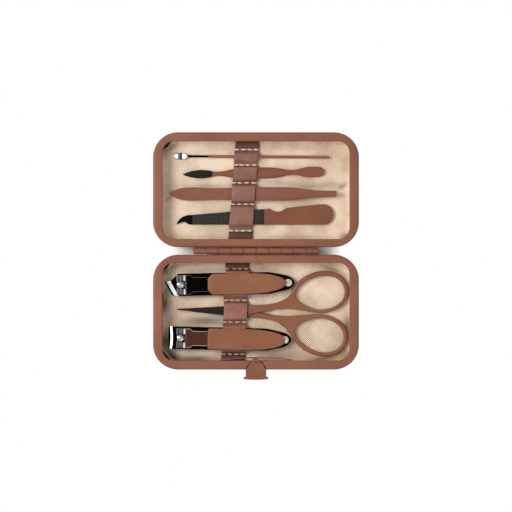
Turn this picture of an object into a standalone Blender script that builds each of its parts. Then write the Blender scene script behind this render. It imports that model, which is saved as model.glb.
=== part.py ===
"""Manicure set case, open flat: two leather-covered trays on a knuckle hinge, a push latch, and
seven grooming tools under stitched straps. Metres, +Z up. The origin is the centre of the base
tray's underside, +X runs along the hinge and +Y from the base tray to the lid."""

import math

import bmesh
import bpy
from mathutils import Matrix, Vector

MM = 0.001

# Fits
CLEARANCE = 0.3 * MM  # between pieces that touch, rest on or run in each other
LAYER_GAP = 0.25 * MM  # between the layers of a tray wall or a riveted stack
OVERRUN = 1.0 * MM  # how far every cut runs past its wall

# Nail clippers, both of one size apart from the cutting edge and the length
JAW_WIDTH = 12.6 * MM
JAW_SHEET = 1.1 * MM
JAW_TAIL = 3.7 * MM  # rivet centre to the rear point
JAW_REST_ANGLE = math.radians(1.8)  # how far the upper jaw springs open
JAW_LIP_RUN = 2.6 * MM  # length of the sloped face behind the cutting edge
JAW_LIP_EDGE = 0.25 * MM
JAW_LIP_TURN = 0.6 * MM  # how far each lip turns towards the other
SLANT_JAW_REACH = 70.2 * MM  # rivet centre to the foremost point
SLANT_RUN = 7.9 * MM  # how far the slanted edge runs back over its span
SLANT_SPAN = 8.1 * MM
SLANT_POINT = 1.9 * MM  # the foremost point lies this far beside the centre line
STRAIGHT_JAW_SHORTER = 5.8 * MM  # the straight jaw's reach against the slant one's
STRAIGHT_JAW_REACH = SLANT_JAW_REACH - STRAIGHT_JAW_SHORTER
STRAIGHT_HOLLOW = 1.5 * MM  # depth of the curved cutting edge
RIVET_RADIUS = 1.1 * MM
RIVET_HEAD_RADIUS = 1.8 * MM
RIVET_HEAD_HEIGHT = 0.7 * MM
POST_RADIUS = 1.8 * MM
POST_FOOT_RADIUS = 2.8 * MM
POST_FOOT_HEIGHT = 0.5 * MM
POST_CAP = 0.55 * MM  # metal above the notch that holds the lever's crossbar
POST_WEB = 0.9 * MM  # metal left beside that notch
SLANT_POST_SETBACK = 9.8 * MM  # foremost point to post centre
STRAIGHT_POST_SETBACK = 5.8 * MM
LEVER_SHEET = 0.9 * MM
LEVER_DROP = 2.4 * MM  # crossbar centre to the lever's underside
LEVER_NOSE_WIDTH = 11.2 * MM
LEVER_NOSE_BACK = 2.9 * MM
LEVER_NECK_WIDTH = 8.6 * MM
LEVER_NECK_END = 15.2 * MM  # crossbar centre to the front of the grip
LEVER_LENGTH = 56.0 * MM
LEVER_FLANGE_HEIGHT = 0.6 * MM
LEVER_FLANGE_WIDTH = 0.6 * MM
LEVER_NOSE_TURN = math.radians(70)
CROSSBAR_RADIUS = 0.55 * MM
EAR_WIDTH = 0.8 * MM
EAR_LENGTH = 2.2 * MM
FORK_BACK = 2.4 * MM  # crossbar centre to the end of the fork's slot
GRIP_LENGTH = 43.4 * MM
GRIP_WIDTH = 11.8 * MM
GRIP_HEIGHT = 1.5 * MM

# Scissors
BLADE_LENGTH = 33.7 * MM
BLADE_SHEET = 1.1 * MM
BLADE_WIDTH = 7.4 * MM  # at the pivot
RING_HOLE_LENGTH = 26.6 * MM
RING_HOLE_WIDTH = 18.4 * MM
RING_BAND = 2.5 * MM
RING_SETBACK = 47.3 * MM  # pivot to the middle of the finger rings
RING_TILT = math.radians(4)
RING_EGG = 0.25  # how much narrower a ring is towards the shank, broader behind
LOWER_RING_SHIFT = 0.35 * MM
LOWER_RING_SHARE = 0.975  # the second ring's hole against the first's
SCISSORS_TURN = math.radians(-2)  # the scissors lie a little askew
SCREW_RADIUS = 1.1 * MM
SCREW_HEAD_RADIUS = 1.8 * MM
SCREW_HEAD_HEIGHT = 0.55 * MM

# Tools in the lid
EAR_PICK_LENGTH = 87.1 * MM
EAR_PICK_SPOON = 3.9 * MM
EAR_PICK_ROD = 1.6 * MM
PUSHER_LENGTH = 79.7 * MM
PUSHER_WIDTH = 6.1 * MM
PUSHER_HEIGHT = 2.0 * MM
TWEEZERS_LENGTH = 93.8 * MM
TWEEZERS_WIDTH = 7.4 * MM
TWEEZERS_SHEET = 0.9 * MM
TWEEZERS_HEEL = 2.5 * MM  # length of the joined heel
TWEEZERS_SPREAD = math.radians(1.9)
FILE_LENGTH = 88.5 * MM
FILE_HANDLE_WIDTH = 11.4 * MM
FILE_SHEET = 1.2 * MM
FILE_NOTCH_LENGTH = 9.4 * MM
FILE_NOTCH_DEPTH = 2.0 * MM

# Trays: the base tray is as long as a clipper beside a finger ring, and as wide as two rings
RIM_SIDE = 5.2 * MM
RIM_FRONT = 5.0 * MM
RIM_BACK = 4.5 * MM
RING_NEST = 1.4 * MM  # how far a clipper's rear point reaches past the finger ring's end
TOOL_END_ROOM = 0.3 * MM
LID_END_ROOM = 4.5 * MM  # least room at each end of a lid tool
RING_SIDE_ROOM = 3.8 * MM
TRAY_HEIGHT = 13.0 * MM
TRAY_CORNER = 14.0 * MM
RIM_CORNER = 6.5 * MM
FRAME_SHEET = 0.6 * MM
FRAME_SKIRT = 4.8 * MM
FRAME_LIP = 2.6 * MM
FRAME_ROUND = 1.2 * MM
FRAME_CHAMFER = 0.3 * MM
COVER_WALL = 0.8 * MM
COVER_ROUND = 5.0 * MM
COVER_TOP_DROP = 1.5 * MM  # top edge of the cover below the rim
BOARD_WALL = 0.8 * MM
PADDING_HEIGHT = 0.7 * MM
LINING_WALL = 0.6 * MM
LINING_ROUND = 2.4 * MM
LINING_INSET = 3.9 * MM
LINING_TUCK = 0.6 * MM  # how far the lining's top edge leans out under the frame
LINING_TUCK_DROP = 1.7 * MM

# Hinge and closing
HALF_GAP = 4.3 * MM  # between the open trays
CLOSED_GAP = 0.3 * MM
HINGE_LENGTH = 70.0 * MM
KNUCKLE_COUNT = 10
KNUCKLE_RADIUS = 1.25 * MM
HINGE_PIN_RADIUS = 0.6 * MM
HINGE_BORE_CLEARANCE = 0.1 * MM
LEAF_SHEET = 0.6 * MM
LEAF_HEIGHT = 2.9 * MM

# Latch
TAB_WIDTH = 11.5 * MM
TAB_REACH = 4.3 * MM  # tray front to the thumb plate
TAB_SHEET = 0.8 * MM
TAB_DROP = 0.15 * MM  # the arm lies this far below the rim
THUMB_WIDTH = 14.0 * MM
THUMB_SHEET = 1.1 * MM
THUMB_HEIGHT = 5.6 * MM
THUMB_RISE = 0.3 * MM  # thumb plate above the arm
THUMB_HOLLOW = 0.5 * MM
HOOK_WIDTH = 4.1 * MM
HOOK_SHEET = 0.8 * MM
HOOK_RISE = 2.35 * MM  # top of the hook above the rim
HOOK_BARB = 0.8 * MM
HOOK_BARB_HEIGHT = 0.85 * MM
HOOK_LEG = 1.75 * MM  # the leg reaches this far down from the arm
CATCH_BAND = 0.9 * MM  # metal of the lid's inner lip that the barb hooks over
LATCH_TRAVEL = 0.9 * MM
BOW_LENGTH = 40.0 * MM
BOW_SHEET = 0.35 * MM
BOW_HEIGHT = 2.0 * MM
BOW_RISE = 1.15 * MM

# Straps
STRAP_WIDTH = 13.6 * MM
STRAP_SHEET = 0.6 * MM
STRAP_SHOULDER = 1.2 * MM  # run of the slope beside a tool
STRAP_END_INSET = 5.0 * MM
STRAP_END_DROP = 4.0 * MM
BASE_STRAP_MIDDLE = -11.6 * MM  # along the tray, at its middle
LID_STRAP_MIDDLE = -6.9 * MM
BASE_STRAP_LEAN = 0.045  # sideways run for each unit across
LID_STRAP_LEAN = 0.075

# Heights of the stack that everything in a tray stands on
BOARD_FLOOR = COVER_WALL + LAYER_GAP + BOARD_WALL
PADDING_LOW = BOARD_FLOOR + LAYER_GAP
PADDING_TOP = PADDING_LOW + PADDING_HEIGHT
LINING_FLOOR = PADDING_TOP + LAYER_GAP + LINING_WALL
TOOL_FLOOR = LINING_FLOOR + CLEARANCE

# Heights inside a clipper, from the floor up
UPPER_JAW_LOW = TOOL_FLOOR + JAW_SHEET + LAYER_GAP
CROSSBAR_CLEAR = 0.35 * MM  # lever's curled nose above the upper jaw

# Outside and inside sizes of the trays
RING_LENGTH = RING_HOLE_LENGTH + 2 * RING_BAND
RING_WIDTH = RING_HOLE_WIDTH + 2 * RING_BAND
SLANT_LENGTH = SLANT_JAW_REACH + JAW_TAIL
BASE_ROW = SLANT_LENGTH + RING_LENGTH - RING_NEST
LID_ROW = max(TWEEZERS_LENGTH, FILE_LENGTH, EAR_PICK_LENGTH, PUSHER_LENGTH) + 2 * LID_END_ROOM
CAVITY_LENGTH = max(BASE_ROW, LID_ROW) + 2 * TOOL_END_ROOM
CAVITY_WIDTH = 2 * RING_WIDTH + CLEARANCE + 2 * RING_SIDE_ROOM
CASE_LENGTH = CAVITY_LENGTH + 2 * RIM_SIDE
CASE_WIDTH = CAVITY_WIDTH + RIM_FRONT + RIM_BACK
HINGE_Y = CASE_WIDTH / 2 + HALF_GAP / 2
HINGE_Z = TRAY_HEIGHT + CLOSED_GAP / 2
LID_Y = 2 * HINGE_Y
CAVITY_BACK = CASE_WIDTH / 2 - RIM_BACK
CAVITY_FRONT = RIM_FRONT - CASE_WIDTH / 2
CAVITY_MIDDLE = (CAVITY_BACK + CAVITY_FRONT) / 2

# Places of the tools in the base tray
RIVET_X = SLANT_JAW_REACH - CAVITY_LENGTH / 2 + TOOL_END_ROOM
RINGS_END_X = CAVITY_LENGTH / 2 - TOOL_END_ROOM
STRAIGHT_RIVET_SHIFT = -1.9 * MM  # the straight clipper lies a little further left
SCISSORS_LINE_Y = CAVITY_MIDDLE
PIVOT_X = RINGS_END_X - RING_LENGTH / 2 - RING_SETBACK
SLANT_PITCH = 16.2 * MM  # scissors line to the clipper's rivet
STRAIGHT_PITCH = 16.1 * MM
CLIPPER_TURN = math.radians(1.2)  # each clipper's rear leans away from the scissors
SLANT_Y = SCISSORS_LINE_Y + SLANT_PITCH
STRAIGHT_Y = SCISSORS_LINE_Y - STRAIGHT_PITCH

# Places of the tools in the lid: shares of the cavity from the hinge side to the front,
# and how far each tool's middle lies from the lid's middle
LID_ROW_SHARES = (0.845, 0.676, 0.466, 0.255)
EAR_PICK_SHIFT = -2.35 * MM
PUSHER_SHIFT = -1.35 * MM
TWEEZERS_SHIFT = -1.7 * MM
FILE_SHIFT = -0.45 * MM

# Shapes in plan, as shares of the sizes above
# Rear taper of a jaw from the rivet to the point, and of its front and waist
JAW_TAIL_SHARES = ((-1.4, 0.76), (0.0, 0.53), (0.6, 0.34), (0.92, 0.14))
JAW_TAPER_SHARE = 0.35
JAW_WAIST_SHARE = 0.97
SLANT_SHOULDER_SHARE = 0.09
# The grip from front to back: share of its length, share of its width
GRIP_SHARES = (
    (0.0, 0.74),
    (0.035, 0.93),
    (0.12, 1.0),
    (0.45, 1.0),
    (0.62, 0.95),
    (0.76, 0.82),
    (0.88, 0.6),
    (0.96, 0.36),
    (1.0, 0.12),
)
LEVER_TAIL_SHARES = ((0.3, 1.0), (0.8, 0.8), (0.95, 0.4), (1.0, 0.15))
GRIP_THIN_SHARE = 0.45  # how much of its height the grip loses where it is narrow

# One half of the scissors: shares of the blade length and half the blade width up to the pivot,
# and of the ring setback and ring width behind it. The outer side is the one away from the
# half's own ring.
BLADE_OUTER_SHARES = ((-1.0, -0.06), (-0.65, -0.34), (-0.24, -0.66), (0.0, -0.98), (0.18, -0.98))
BLADE_INNER_SHARES = ((-1.0, 0.06), (-0.65, 0.34), (-0.24, 0.66), (0.0, 0.85), (0.2, 0.98))
SHANK_GAP_SHARES = {
    "upper": ((0.42, 0.055), (0.55, 0.115), (0.68, 0.125)),
    "lower": ((0.42, 0.02), (0.55, 0.035), (0.68, 0.06)),
}
SHANK_BAND_SHARES = ((0.887, 0.151), (0.791, 0.273), (0.71, 0.44), (0.694, 0.56))
SHANK_OUTER_SHARES = {
    "upper": ((0.672, 0.58), (0.64, 0.49), (0.592, 0.4), (0.49, 0.27), (0.384, 0.21), (0.3, 0.186)),
    "lower": ((0.69, 0.587), (0.645, 0.51), (0.592, 0.375), (0.498, 0.235), (0.384, 0.165), (0.3, 0.147)),
}
RING_BULGE_SHARE = 1.036
SHANK_START_SHARE = 0.31
SHANK_LAP_SHARE = 0.4

# Stations of the slim tools, front to back: share of the length, share of the width, share of
# the thickness, and for the ear pick how far the section lies above its rod
EAR_PICK_SHARES = (
    (0.0, 0.5, 0.5),
    (0.008, 0.82, 0.5),
    (0.03, 1.0, 0.5),
    (0.06, 0.96, 0.55),
    (0.078, 0.66, 0.6),
    (0.092, 0.26, 0.55),
    (0.215, 0.22, 0.55),
    (0.225, 0.36, 0.95),
    (0.6, 0.4, 1.0),
    (0.992, 0.42, 1.0),
    (1.0, 0.3, 0.7),
)
PUSHER_SHARES = (
    (0.0, 0.06, 0.3),
    (0.03, 0.36, 0.5),
    (0.08, 0.66, 0.6),
    (0.13, 0.77, 0.65),
    (0.18, 0.66, 0.7),
    (0.215, 0.46, 0.75),
    (0.24, 0.4, 0.85),
    (0.29, 0.48, 0.95),
    (0.36, 0.84, 1.0),
    (0.42, 1.0, 1.0),
    (0.6, 1.0, 1.0),
    (0.68, 0.8, 1.0),
    (0.74, 0.48, 0.95),
    (0.78, 0.42, 0.85),
    (0.83, 0.66, 0.7),
    (0.88, 0.94, 0.6),
    (0.95, 0.95, 0.5),
    (0.985, 0.7, 0.45),
    (1.0, 0.3, 0.4),
)
TWEEZERS_SHARES = (
    (0.0, 0.1),
    (0.02, 0.42),
    (0.055, 0.78),
    (0.11, 0.97),
    (0.2, 1.0),
    (0.7, 1.0),
    (0.78, 0.92),
    (0.86, 0.66),
    (0.92, 0.46),
    (0.96, 0.42),
    (1.0, 0.41),
)

# The nail file in plan, as shares of its length and its handle's width
FILE_FRONT_SHARES = (
    (0.0, 0.05),
    (0.012, 0.2),
    (0.035, 0.38),
    (0.07, 0.47),
    (0.1, 0.48),
    (0.55, 0.76),
)
FILE_NOTCH_SHARE = 0.642
FILE_NOTCH_WIDTH_SHARE = 0.81
FILE_BROAD_SHARE = 0.9
FILE_HEEL_SHARE = 0.1
FILE_HOOK_SHARES = ((0.075, 0.0), (0.06, 0.1), (0.045, 0.18), (0.025, 0.14), (0.01, 0.02))

# Where a strap crosses: shares of the tweezers' length and the file handle's width
TWEEZERS_STRAP_SHARE = 0.62
FILE_STRAP_SHARE = 0.82

# Counts of the facets
CORNER_STEPS = 6
ARC_STEPS = 5
ROUND_SIDES = 20
BAR_SIDES = 12
BAND_SIDES = 8


def clear_scene():
    for thing in list(bpy.data.objects):
        bpy.data.objects.remove(thing, do_unlink=True)


def linear(value):
    """One channel of a screen colour as light."""
    return value / 12.92 if value <= 0.04045 else ((value + 0.055) / 1.055) ** 2.4


def finish(name, hex_colour, roughness, metallic=0.0):
    """A material with one colour, given as on a screen."""
    material = bpy.data.materials.new(name)
    material.use_nodes = True
    shader = material.node_tree.nodes["Principled BSDF"]
    channels = [int(hex_colour[i : i + 2], 16) / 255 for i in (0, 2, 4)]
    shader.inputs["Base Color"].default_value = (*map(linear, channels), 1)
    shader.inputs["Roughness"].default_value = roughness
    shader.inputs["Metallic"].default_value = metallic
    return material


def add_object(name, mesh, material, parent=None, place=(0, 0, 0), turn=0.0):
    """An object in the scene, turned about Z and set under its parent."""
    thing = bpy.data.objects.new(name, mesh)
    bpy.context.scene.collection.objects.link(thing)
    thing.parent = parent
    thing.location = place
    thing.rotation_euler = (0, 0, turn)
    if material and not mesh.materials:
        mesh.materials.append(material)
    return thing


def add_marker(name, place, parent=None, turn=(0, 0, 0)):
    """An empty that stands on a joint's axis or a tool's reference point."""
    marker = bpy.data.objects.new(name, None)
    bpy.context.scene.collection.objects.link(marker)
    marker.parent = parent
    marker.location = place
    marker.rotation_euler = turn
    return marker


def mesh_from(name, work, smooth=True):
    """The finished mesh of a bmesh, facing outwards."""
    bmesh.ops.recalc_face_normals(work, faces=work.faces)
    mesh = bpy.data.meshes.new(name)
    work.to_mesh(mesh)
    work.free()
    if smooth:
        mesh.shade_smooth()
        mesh.set_sharp_from_angle(angle=math.radians(35))
    return mesh


def loft(loops, ring=False):
    """A closed skin over loops of equal counts; a run that isn't a ring is capped at its ends."""
    work = bmesh.new()
    rows = [[work.verts.new(point) for point in loop] for loop in loops]
    pairs = list(zip(rows, rows[1:]))
    if ring:
        pairs.append((rows[-1], rows[0]))
    for near, far in pairs:
        for i, vertex in enumerate(near):
            j = (i + 1) % len(near)
            work.faces.new((vertex, near[j], far[j], far[i]))
    if not ring:
        work.faces.new(list(reversed(rows[0])))
        work.faces.new(rows[-1])
    return work


def prism(outline, low, high):
    """A flat outline in X and Y, made solid between two heights."""
    return loft([[(x, y, low) for x, y in outline], [(x, y, high) for x, y in outline]])


def slab(x_range, y_range, z_range):
    """A plain block between pairs of limits."""
    outline = [(x_range[i], y_range[j]) for i, j in ((0, 0), (1, 0), (1, 1), (0, 1))]
    return prism(outline, *z_range)


def rod(radius, low, high, sides=ROUND_SIDES):
    """An upright round bar."""
    turns = [2 * math.pi * (i + 0.5) / sides for i in range(sides)]
    return prism([(radius * math.cos(a), radius * math.sin(a)) for a in turns], low, high)


def lathe(profile, sides=ROUND_SIDES):
    """A solid of revolution about Z from (radius, height) points, foot first."""
    turns = [2 * math.pi * (i + 0.5) / sides for i in range(sides)]
    return loft([[(r * math.cos(a), r * math.sin(a), z) for a in turns] for r, z in profile])


def arc(centre, radius, start, end, steps=ARC_STEPS):
    """Points on part of a circle, angles in degrees."""
    angles = [math.radians(start + (end - start) * i / steps) for i in range(steps + 1)]
    return [(centre[0] + radius * math.cos(a), centre[1] + radius * math.sin(a)) for a in angles]


def offset_path(path, distance):
    """An open flat line moved to its left side, mitred where it bends."""
    points = [Vector(point) for point in path]
    sides = []
    for start, end in zip(points, points[1:]):
        along = (end - start).normalized()
        sides.append(Vector((-along.y, along.x)))
    moved = []
    for i, point in enumerate(points):
        before = sides[max(i - 1, 0)]
        after = sides[min(i, len(sides) - 1)]
        middle = (before + after).normalized()
        moved.append(tuple(point + middle * (distance / middle.dot(before))))
    return moved


def ribbon(path, thickness):
    """The closed outline of a strip of even thickness along an open line."""
    return offset_path(path, thickness / 2) + offset_path(path, -thickness / 2)[::-1]


def tray_outline(inset):
    """A tray's outline moved inwards; its corners tighten towards the inner edge of the rim."""
    depth = inset / RIM_SIDE
    half = CASE_LENGTH / 2 - inset
    back = CASE_WIDTH / 2 - RIM_BACK * depth
    front = RIM_FRONT * depth - CASE_WIDTH / 2
    radius = TRAY_CORNER + (RIM_CORNER - TRAY_CORNER) * min(depth, 1)
    corners = (
        ((half - radius, back - radius), 0),
        ((radius - half, back - radius), 90),
        ((radius - half, front + radius), 180),
        ((half - radius, front + radius), 270),
    )
    points = []
    for centre, start in corners:
        points += arc(centre, radius, start, start + 90, CORNER_STEPS)
    return points


def tray_loops(section):
    """One loop round the tray for each (inset, height) point of a wall section."""
    return [[(x, y, z) for x, y in tray_outline(inset)] for inset, z in section]


def tray_shell(path, thickness):
    """A tray of even thickness from its middle line, which runs from the top edge to the floor."""
    outer = offset_path(path, -thickness / 2)
    inner = offset_path(path, thickness / 2)
    return loft(tray_loops(outer[::-1] + inner))


def shell_path(inset, top, radius, centre):
    """A wall's middle line: straight down from the top, then round into the floor."""
    return [(inset, top)] + arc(centre, radius, 180, 270)


def cut(thing, work, name, place=(0, 0, 0), turn=(0, 0, 0), parent=None):
    """Takes a hidden cutter's shape out of a piece."""
    combine(thing, work, name, "DIFFERENCE", place, turn, parent)


def fuse(thing, work, name, place=(0, 0, 0), turn=(0, 0, 0), parent=None):
    """Adds a hidden guide's shape to a piece, as one body."""
    combine(thing, work, name, "UNION", place, turn, parent)


def combine(thing, work, name, operation, place, turn, parent):
    guide = add_object(name, mesh_from(name, work, smooth=False), None, parent, place)
    guide.rotation_euler = turn
    guide.hide_render = True
    guide.display_type = "WIRE"
    modifier = thing.modifiers.new(name, "BOOLEAN")
    modifier.operation = operation
    modifier.solver = "EXACT"
    modifier.object = guide


def squarish(width, height, centre, x, power=3.0, sides=BAR_SIDES):
    """One cross-section of a bar along X: a rounded rectangle as a superellipse."""
    loop = []
    for i in range(sides):
        angle = 2 * math.pi * (i + 0.5) / sides
        c = math.cos(angle)
        s = math.sin(angle)
        y = math.copysign(abs(c) ** (2 / power), c) * width / 2
        z = math.copysign(abs(s) ** (2 / power), s) * height / 2
        loop.append((x, centre[0] + y, centre[1] + z))
    return loop


def mirrored(half_outline):
    """A closed outline from its upper side, front to back, mirrored about the X axis."""
    return half_outline + [(x, -y) for x, y in reversed(half_outline)]


def build_tray(side, marker, turn):
    """Cover, board, padding and lining of one tray, from the outside in."""
    wall = FRAME_SHEET + LAYER_GAP
    centre = (wall + COVER_ROUND, COVER_ROUND)
    cover_top = TRAY_HEIGHT - COVER_TOP_DROP
    cover = shell_path(wall + COVER_WALL / 2, cover_top, COVER_ROUND - COVER_WALL / 2, centre)
    add_object(
        side + "_cover",
        mesh_from("cover", tray_shell(cover, COVER_WALL)),
        LEATHER,
        marker,
        turn=turn,
    )
    inset = wall + COVER_WALL + LAYER_GAP + BOARD_WALL / 2
    board = shell_path(inset, cover_top, centre[0] - inset, centre)
    add_object(
        side + "_board",
        mesh_from("board", tray_shell(board, BOARD_WALL)),
        BOARD,
        marker,
        turn=turn,
    )
    pad_outline = tray_outline(centre[0] + CLEARANCE)
    add_object(
        side + "_padding",
        mesh_from("padding", prism(pad_outline, PADDING_LOW, PADDING_TOP), smooth=False),
        FOAM,
        marker,
        turn=turn,
    )
    middle = LINING_FLOOR - LINING_WALL / 2
    lining = [
        (LINING_INSET - LINING_TUCK, cover_top),
        (LINING_INSET, cover_top - LINING_TUCK_DROP),
    ] + arc((LINING_INSET + LINING_ROUND, middle + LINING_ROUND), LINING_ROUND, 180, 270)
    add_object(
        side + "_lining",
        mesh_from("lining", tray_shell(lining, LINING_WALL)),
        LINING,
        marker,
        turn=turn,
    )


def build_frame(side, marker, turn):
    """The painted rim: an outer skirt, a flat face and a shorter inner lip, one folded channel."""
    top = TRAY_HEIGHT
    under = top - FRAME_SHEET
    skirt = top - FRAME_SKIRT
    lip = top - FRAME_LIP
    section = [(0, skirt)]
    section += arc((FRAME_ROUND, top - FRAME_ROUND), FRAME_ROUND, 180, 90)
    section += [
        (RIM_SIDE - FRAME_CHAMFER, top),
        (RIM_SIDE, top - FRAME_CHAMFER),
        (RIM_SIDE, lip),
        (RIM_SIDE - FRAME_SHEET, lip),
        (RIM_SIDE - FRAME_SHEET, under),
        (FRAME_ROUND, under),
        (FRAME_SHEET, top - FRAME_ROUND),
        (FRAME_SHEET, skirt),
    ]
    mesh = mesh_from("frame", loft(tray_loops(section), ring=True))
    return add_object(side + "_frame", mesh, PAINT, marker, turn=turn)


def build_hinge_leaf(name, marker, turn):
    """A strip on the tray's hinge side with five knuckles rolled round the pin, and their bore."""
    pitch = HINGE_LENGTH / KNUCKLE_COUNT
    near = CASE_WIDTH / 2 + CLEARANCE
    top = HINGE_Z - KNUCKLE_RADIUS - CLEARANCE
    strip = slab(
        (-HINGE_LENGTH / 2, HINGE_LENGTH / 2), (near, near + LEAF_SHEET), (top - LEAF_HEIGHT, top)
    )
    leaf = add_object(name, mesh_from(name, strip, smooth=False), PAINT, marker, turn=turn)
    root = top - LEAF_SHEET
    middle = near + LEAF_SHEET / 2
    for i in range(1, KNUCKLE_COUNT, 2):
        start = -HINGE_LENGTH / 2 + pitch * i + CLEARANCE / 2
        end = start + pitch - CLEARANCE
        tab = [
            (start, middle, root),
            (start, near + LEAF_SHEET - LEAF_SHEET / 4, root),
            (start, HINGE_Y, HINGE_Z - KNUCKLE_RADIUS / 2),
            (start, HINGE_Y, HINGE_Z + KNUCKLE_RADIUS / 2),
            (start, middle, HINGE_Z),
        ]
        run = loft([tab, [(end, y, z) for _, y, z in tab]])
        fuse(leaf, run, f"{name}_tab_{i}", parent=leaf)
        barrel = rod(KNUCKLE_RADIUS, start, end)
        bmesh.ops.rotate(barrel, verts=barrel.verts, matrix=Matrix.Rotation(math.pi / 2, 3, "Y"))
        fuse(leaf, barrel, f"{name}_barrel_{i}", (0, HINGE_Y, HINGE_Z), parent=leaf)
    half = HINGE_LENGTH / 2 + OVERRUN
    bore = rod(HINGE_PIN_RADIUS + HINGE_BORE_CLEARANCE, -half, half)
    cut(leaf, bore, name + "_bore", (0, HINGE_Y, HINGE_Z), (0, math.pi / 2, 0), leaf)
    return leaf


def build_hinge_pin():
    pin = rod(HINGE_PIN_RADIUS, -HINGE_LENGTH / 2, HINGE_LENGTH / 2)
    bmesh.ops.rotate(pin, verts=pin.verts, matrix=Matrix.Rotation(math.pi / 2, 3, "Y"))
    add_object("hinge_pin", mesh_from("hinge_pin", pin), STEEL, None, (0, HINGE_Y, HINGE_Z))


def build_latch(base_frame, lid_frame, lid_marker):
    """The push tab with its hook, the notch it slides in, and the catch in the lid's lip."""
    front = -CASE_WIDTH / 2
    arm_top = TRAY_HEIGHT - TAB_DROP
    arm_low = arm_top - TAB_SHEET
    hook_front = CAVITY_FRONT + CLEARANCE
    hook_back = hook_front + HOOK_SHEET
    plate_back = front - TAB_REACH
    marker = add_marker("latch_slide", (0, 0, 0))
    half_tab = TAB_WIDTH / 2
    half_hook = HOOK_WIDTH / 2
    hook_middle = hook_front + HOOK_SHEET / 2
    arm = [
        (-half_tab, plate_back - THUMB_SHEET / 2),
        (half_tab, plate_back - THUMB_SHEET / 2),
        (half_tab, front),
        (half_hook, hook_middle),
        (-half_hook, hook_middle),
        (-half_tab, front),
    ]
    mesh = mesh_from("latch_tab", prism(arm, arm_low, arm_top), smooth=False)
    tab = add_object("latch_tab", mesh, PAINT, marker)

    hook_top = TRAY_HEIGHT + HOOK_RISE
    barb_low = hook_top - HOOK_BARB_HEIGHT
    profile = [
        (hook_front, arm_low - HOOK_LEG),
        (hook_back, arm_low - HOOK_LEG),
        (hook_back, hook_top),
        (hook_front, hook_top),
        (hook_front - HOOK_BARB, barb_low + HOOK_BARB_HEIGHT / 3),
        (hook_front - HOOK_BARB, barb_low),
        (hook_front, barb_low),
    ]
    hook = loft([[(x, y, z) for y, z in profile] for x in (-half_hook, half_hook)])
    fuse(tab, hook, "latch_hook", parent=tab)

    half_thumb = THUMB_WIDTH / 2
    bow = THUMB_HOLLOW / half_thumb**2
    steps = [half_thumb * i / ARC_STEPS for i in range(-ARC_STEPS, ARC_STEPS + 1)]
    outline = [(x, plate_back - THUMB_SHEET - bow * x * x) for x in steps]
    outline += [(x, plate_back - bow * x * x) for x in reversed(steps)]
    thumb_top = arm_top + THUMB_RISE
    fuse(tab, prism(outline, thumb_top - THUMB_HEIGHT, thumb_top), "latch_thumb", parent=tab)

    taper = (half_tab - half_hook) / (hook_middle - front)
    room = CLEARANCE + LATCH_TRAVEL * taper
    half_mouth = half_tab + room
    half_throat = half_hook + taper * (hook_middle - CAVITY_FRONT) + room
    notch = [
        (-half_mouth, front - OVERRUN),
        (half_mouth, front - OVERRUN),
        (half_mouth, front),
        (half_throat, CAVITY_FRONT),
        (half_throat, CAVITY_FRONT + OVERRUN),
        (-half_throat, CAVITY_FRONT + OVERRUN),
        (-half_throat, CAVITY_FRONT),
        (-half_mouth, front),
    ]
    notch_low = arm_low - CLEARANCE
    cut(base_frame, prism(notch, notch_low, TRAY_HEIGHT + OVERRUN), "latch_notch")

    half_catch = half_hook + CLEARANCE
    catch_top = TRAY_HEIGHT - CATCH_BAND
    catch = slab(
        (-half_catch, half_catch),
        (CAVITY_FRONT - FRAME_SHEET - CLEARANCE, CAVITY_FRONT + OVERRUN),
        (TRAY_HEIGHT - FRAME_LIP - OVERRUN, catch_top),
    )
    cut(lid_frame, catch, "latch_catch", (0, 0, 0), (0, 0, math.pi), lid_marker)

    half_bow = BOW_LENGTH / 2
    line = []
    for i in range(-2 * ARC_STEPS, 2 * ARC_STEPS + 1):
        share = i / (2 * ARC_STEPS)
        rise = BOW_RISE * math.cos(share * math.pi / 2)
        line.append((half_bow * share, hook_front + BOW_SHEET / 2 + rise))
    bow_low = arm_low - HOOK_LEG
    strip = prism(ribbon(line, BOW_SHEET), bow_low, bow_low + BOW_HEIGHT)
    add_object("latch_spring", mesh_from("latch_spring", strip), STEEL)


def strap_solid(line, width, lean, origin):
    """A leather band along a line of (y, z) points, sheared sideways as it crosses the tray."""
    outline = ribbon(line, STRAP_SHEET)
    loops = []
    for x in (-width / 2, width / 2):
        loops.append([(x + lean * (y - origin), y, z) for y, z in outline])
    return loft(loops)


def strap_line(bumps, front, back):
    """The strap's middle line: up each end wall, flat on the lining, and over each tool.
    A bump is (front edge, back edge, height it must clear)."""
    low = TOOL_FLOOR + STRAP_SHEET / 2
    wall_top = TRAY_HEIGHT - STRAP_END_DROP
    turn = LINING_ROUND - STRAP_SHEET
    ends = []
    for edge, way in ((front, 1), (back, -1)):
        wall = edge - way * (RIM_SIDE - STRAP_END_INSET)
        rise = [(wall, wall_top), (wall, low + turn)]
        rise += [(wall + way * turn / 3, low + turn / 3), (wall + way * turn, low)]
        ends.append(rise)
    line = ends[0]
    for start, end, height in bumps:
        top = height + CLEARANCE + STRAP_SHEET / 2
        side = STRAP_SHEET / 2 + CLEARANCE
        line += [
            (start - STRAP_SHOULDER - side, low),
            (start - side, top - STRAP_SHEET),
            (start, top),
            (end, top),
            (end + side, top - STRAP_SHEET),
            (end + STRAP_SHOULDER + side, low),
        ]
    return line + ends[1][::-1]


def jaw_edge(kind, y):
    """How far the cutting edge lies behind the foremost point, at a place across the jaw."""
    if kind == "slant":
        return (SLANT_POINT - y) * SLANT_RUN / SLANT_SPAN
    return STRAIGHT_HOLLOW * max(0.0, 1 - (2 * y / JAW_WIDTH) ** 2)


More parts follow.
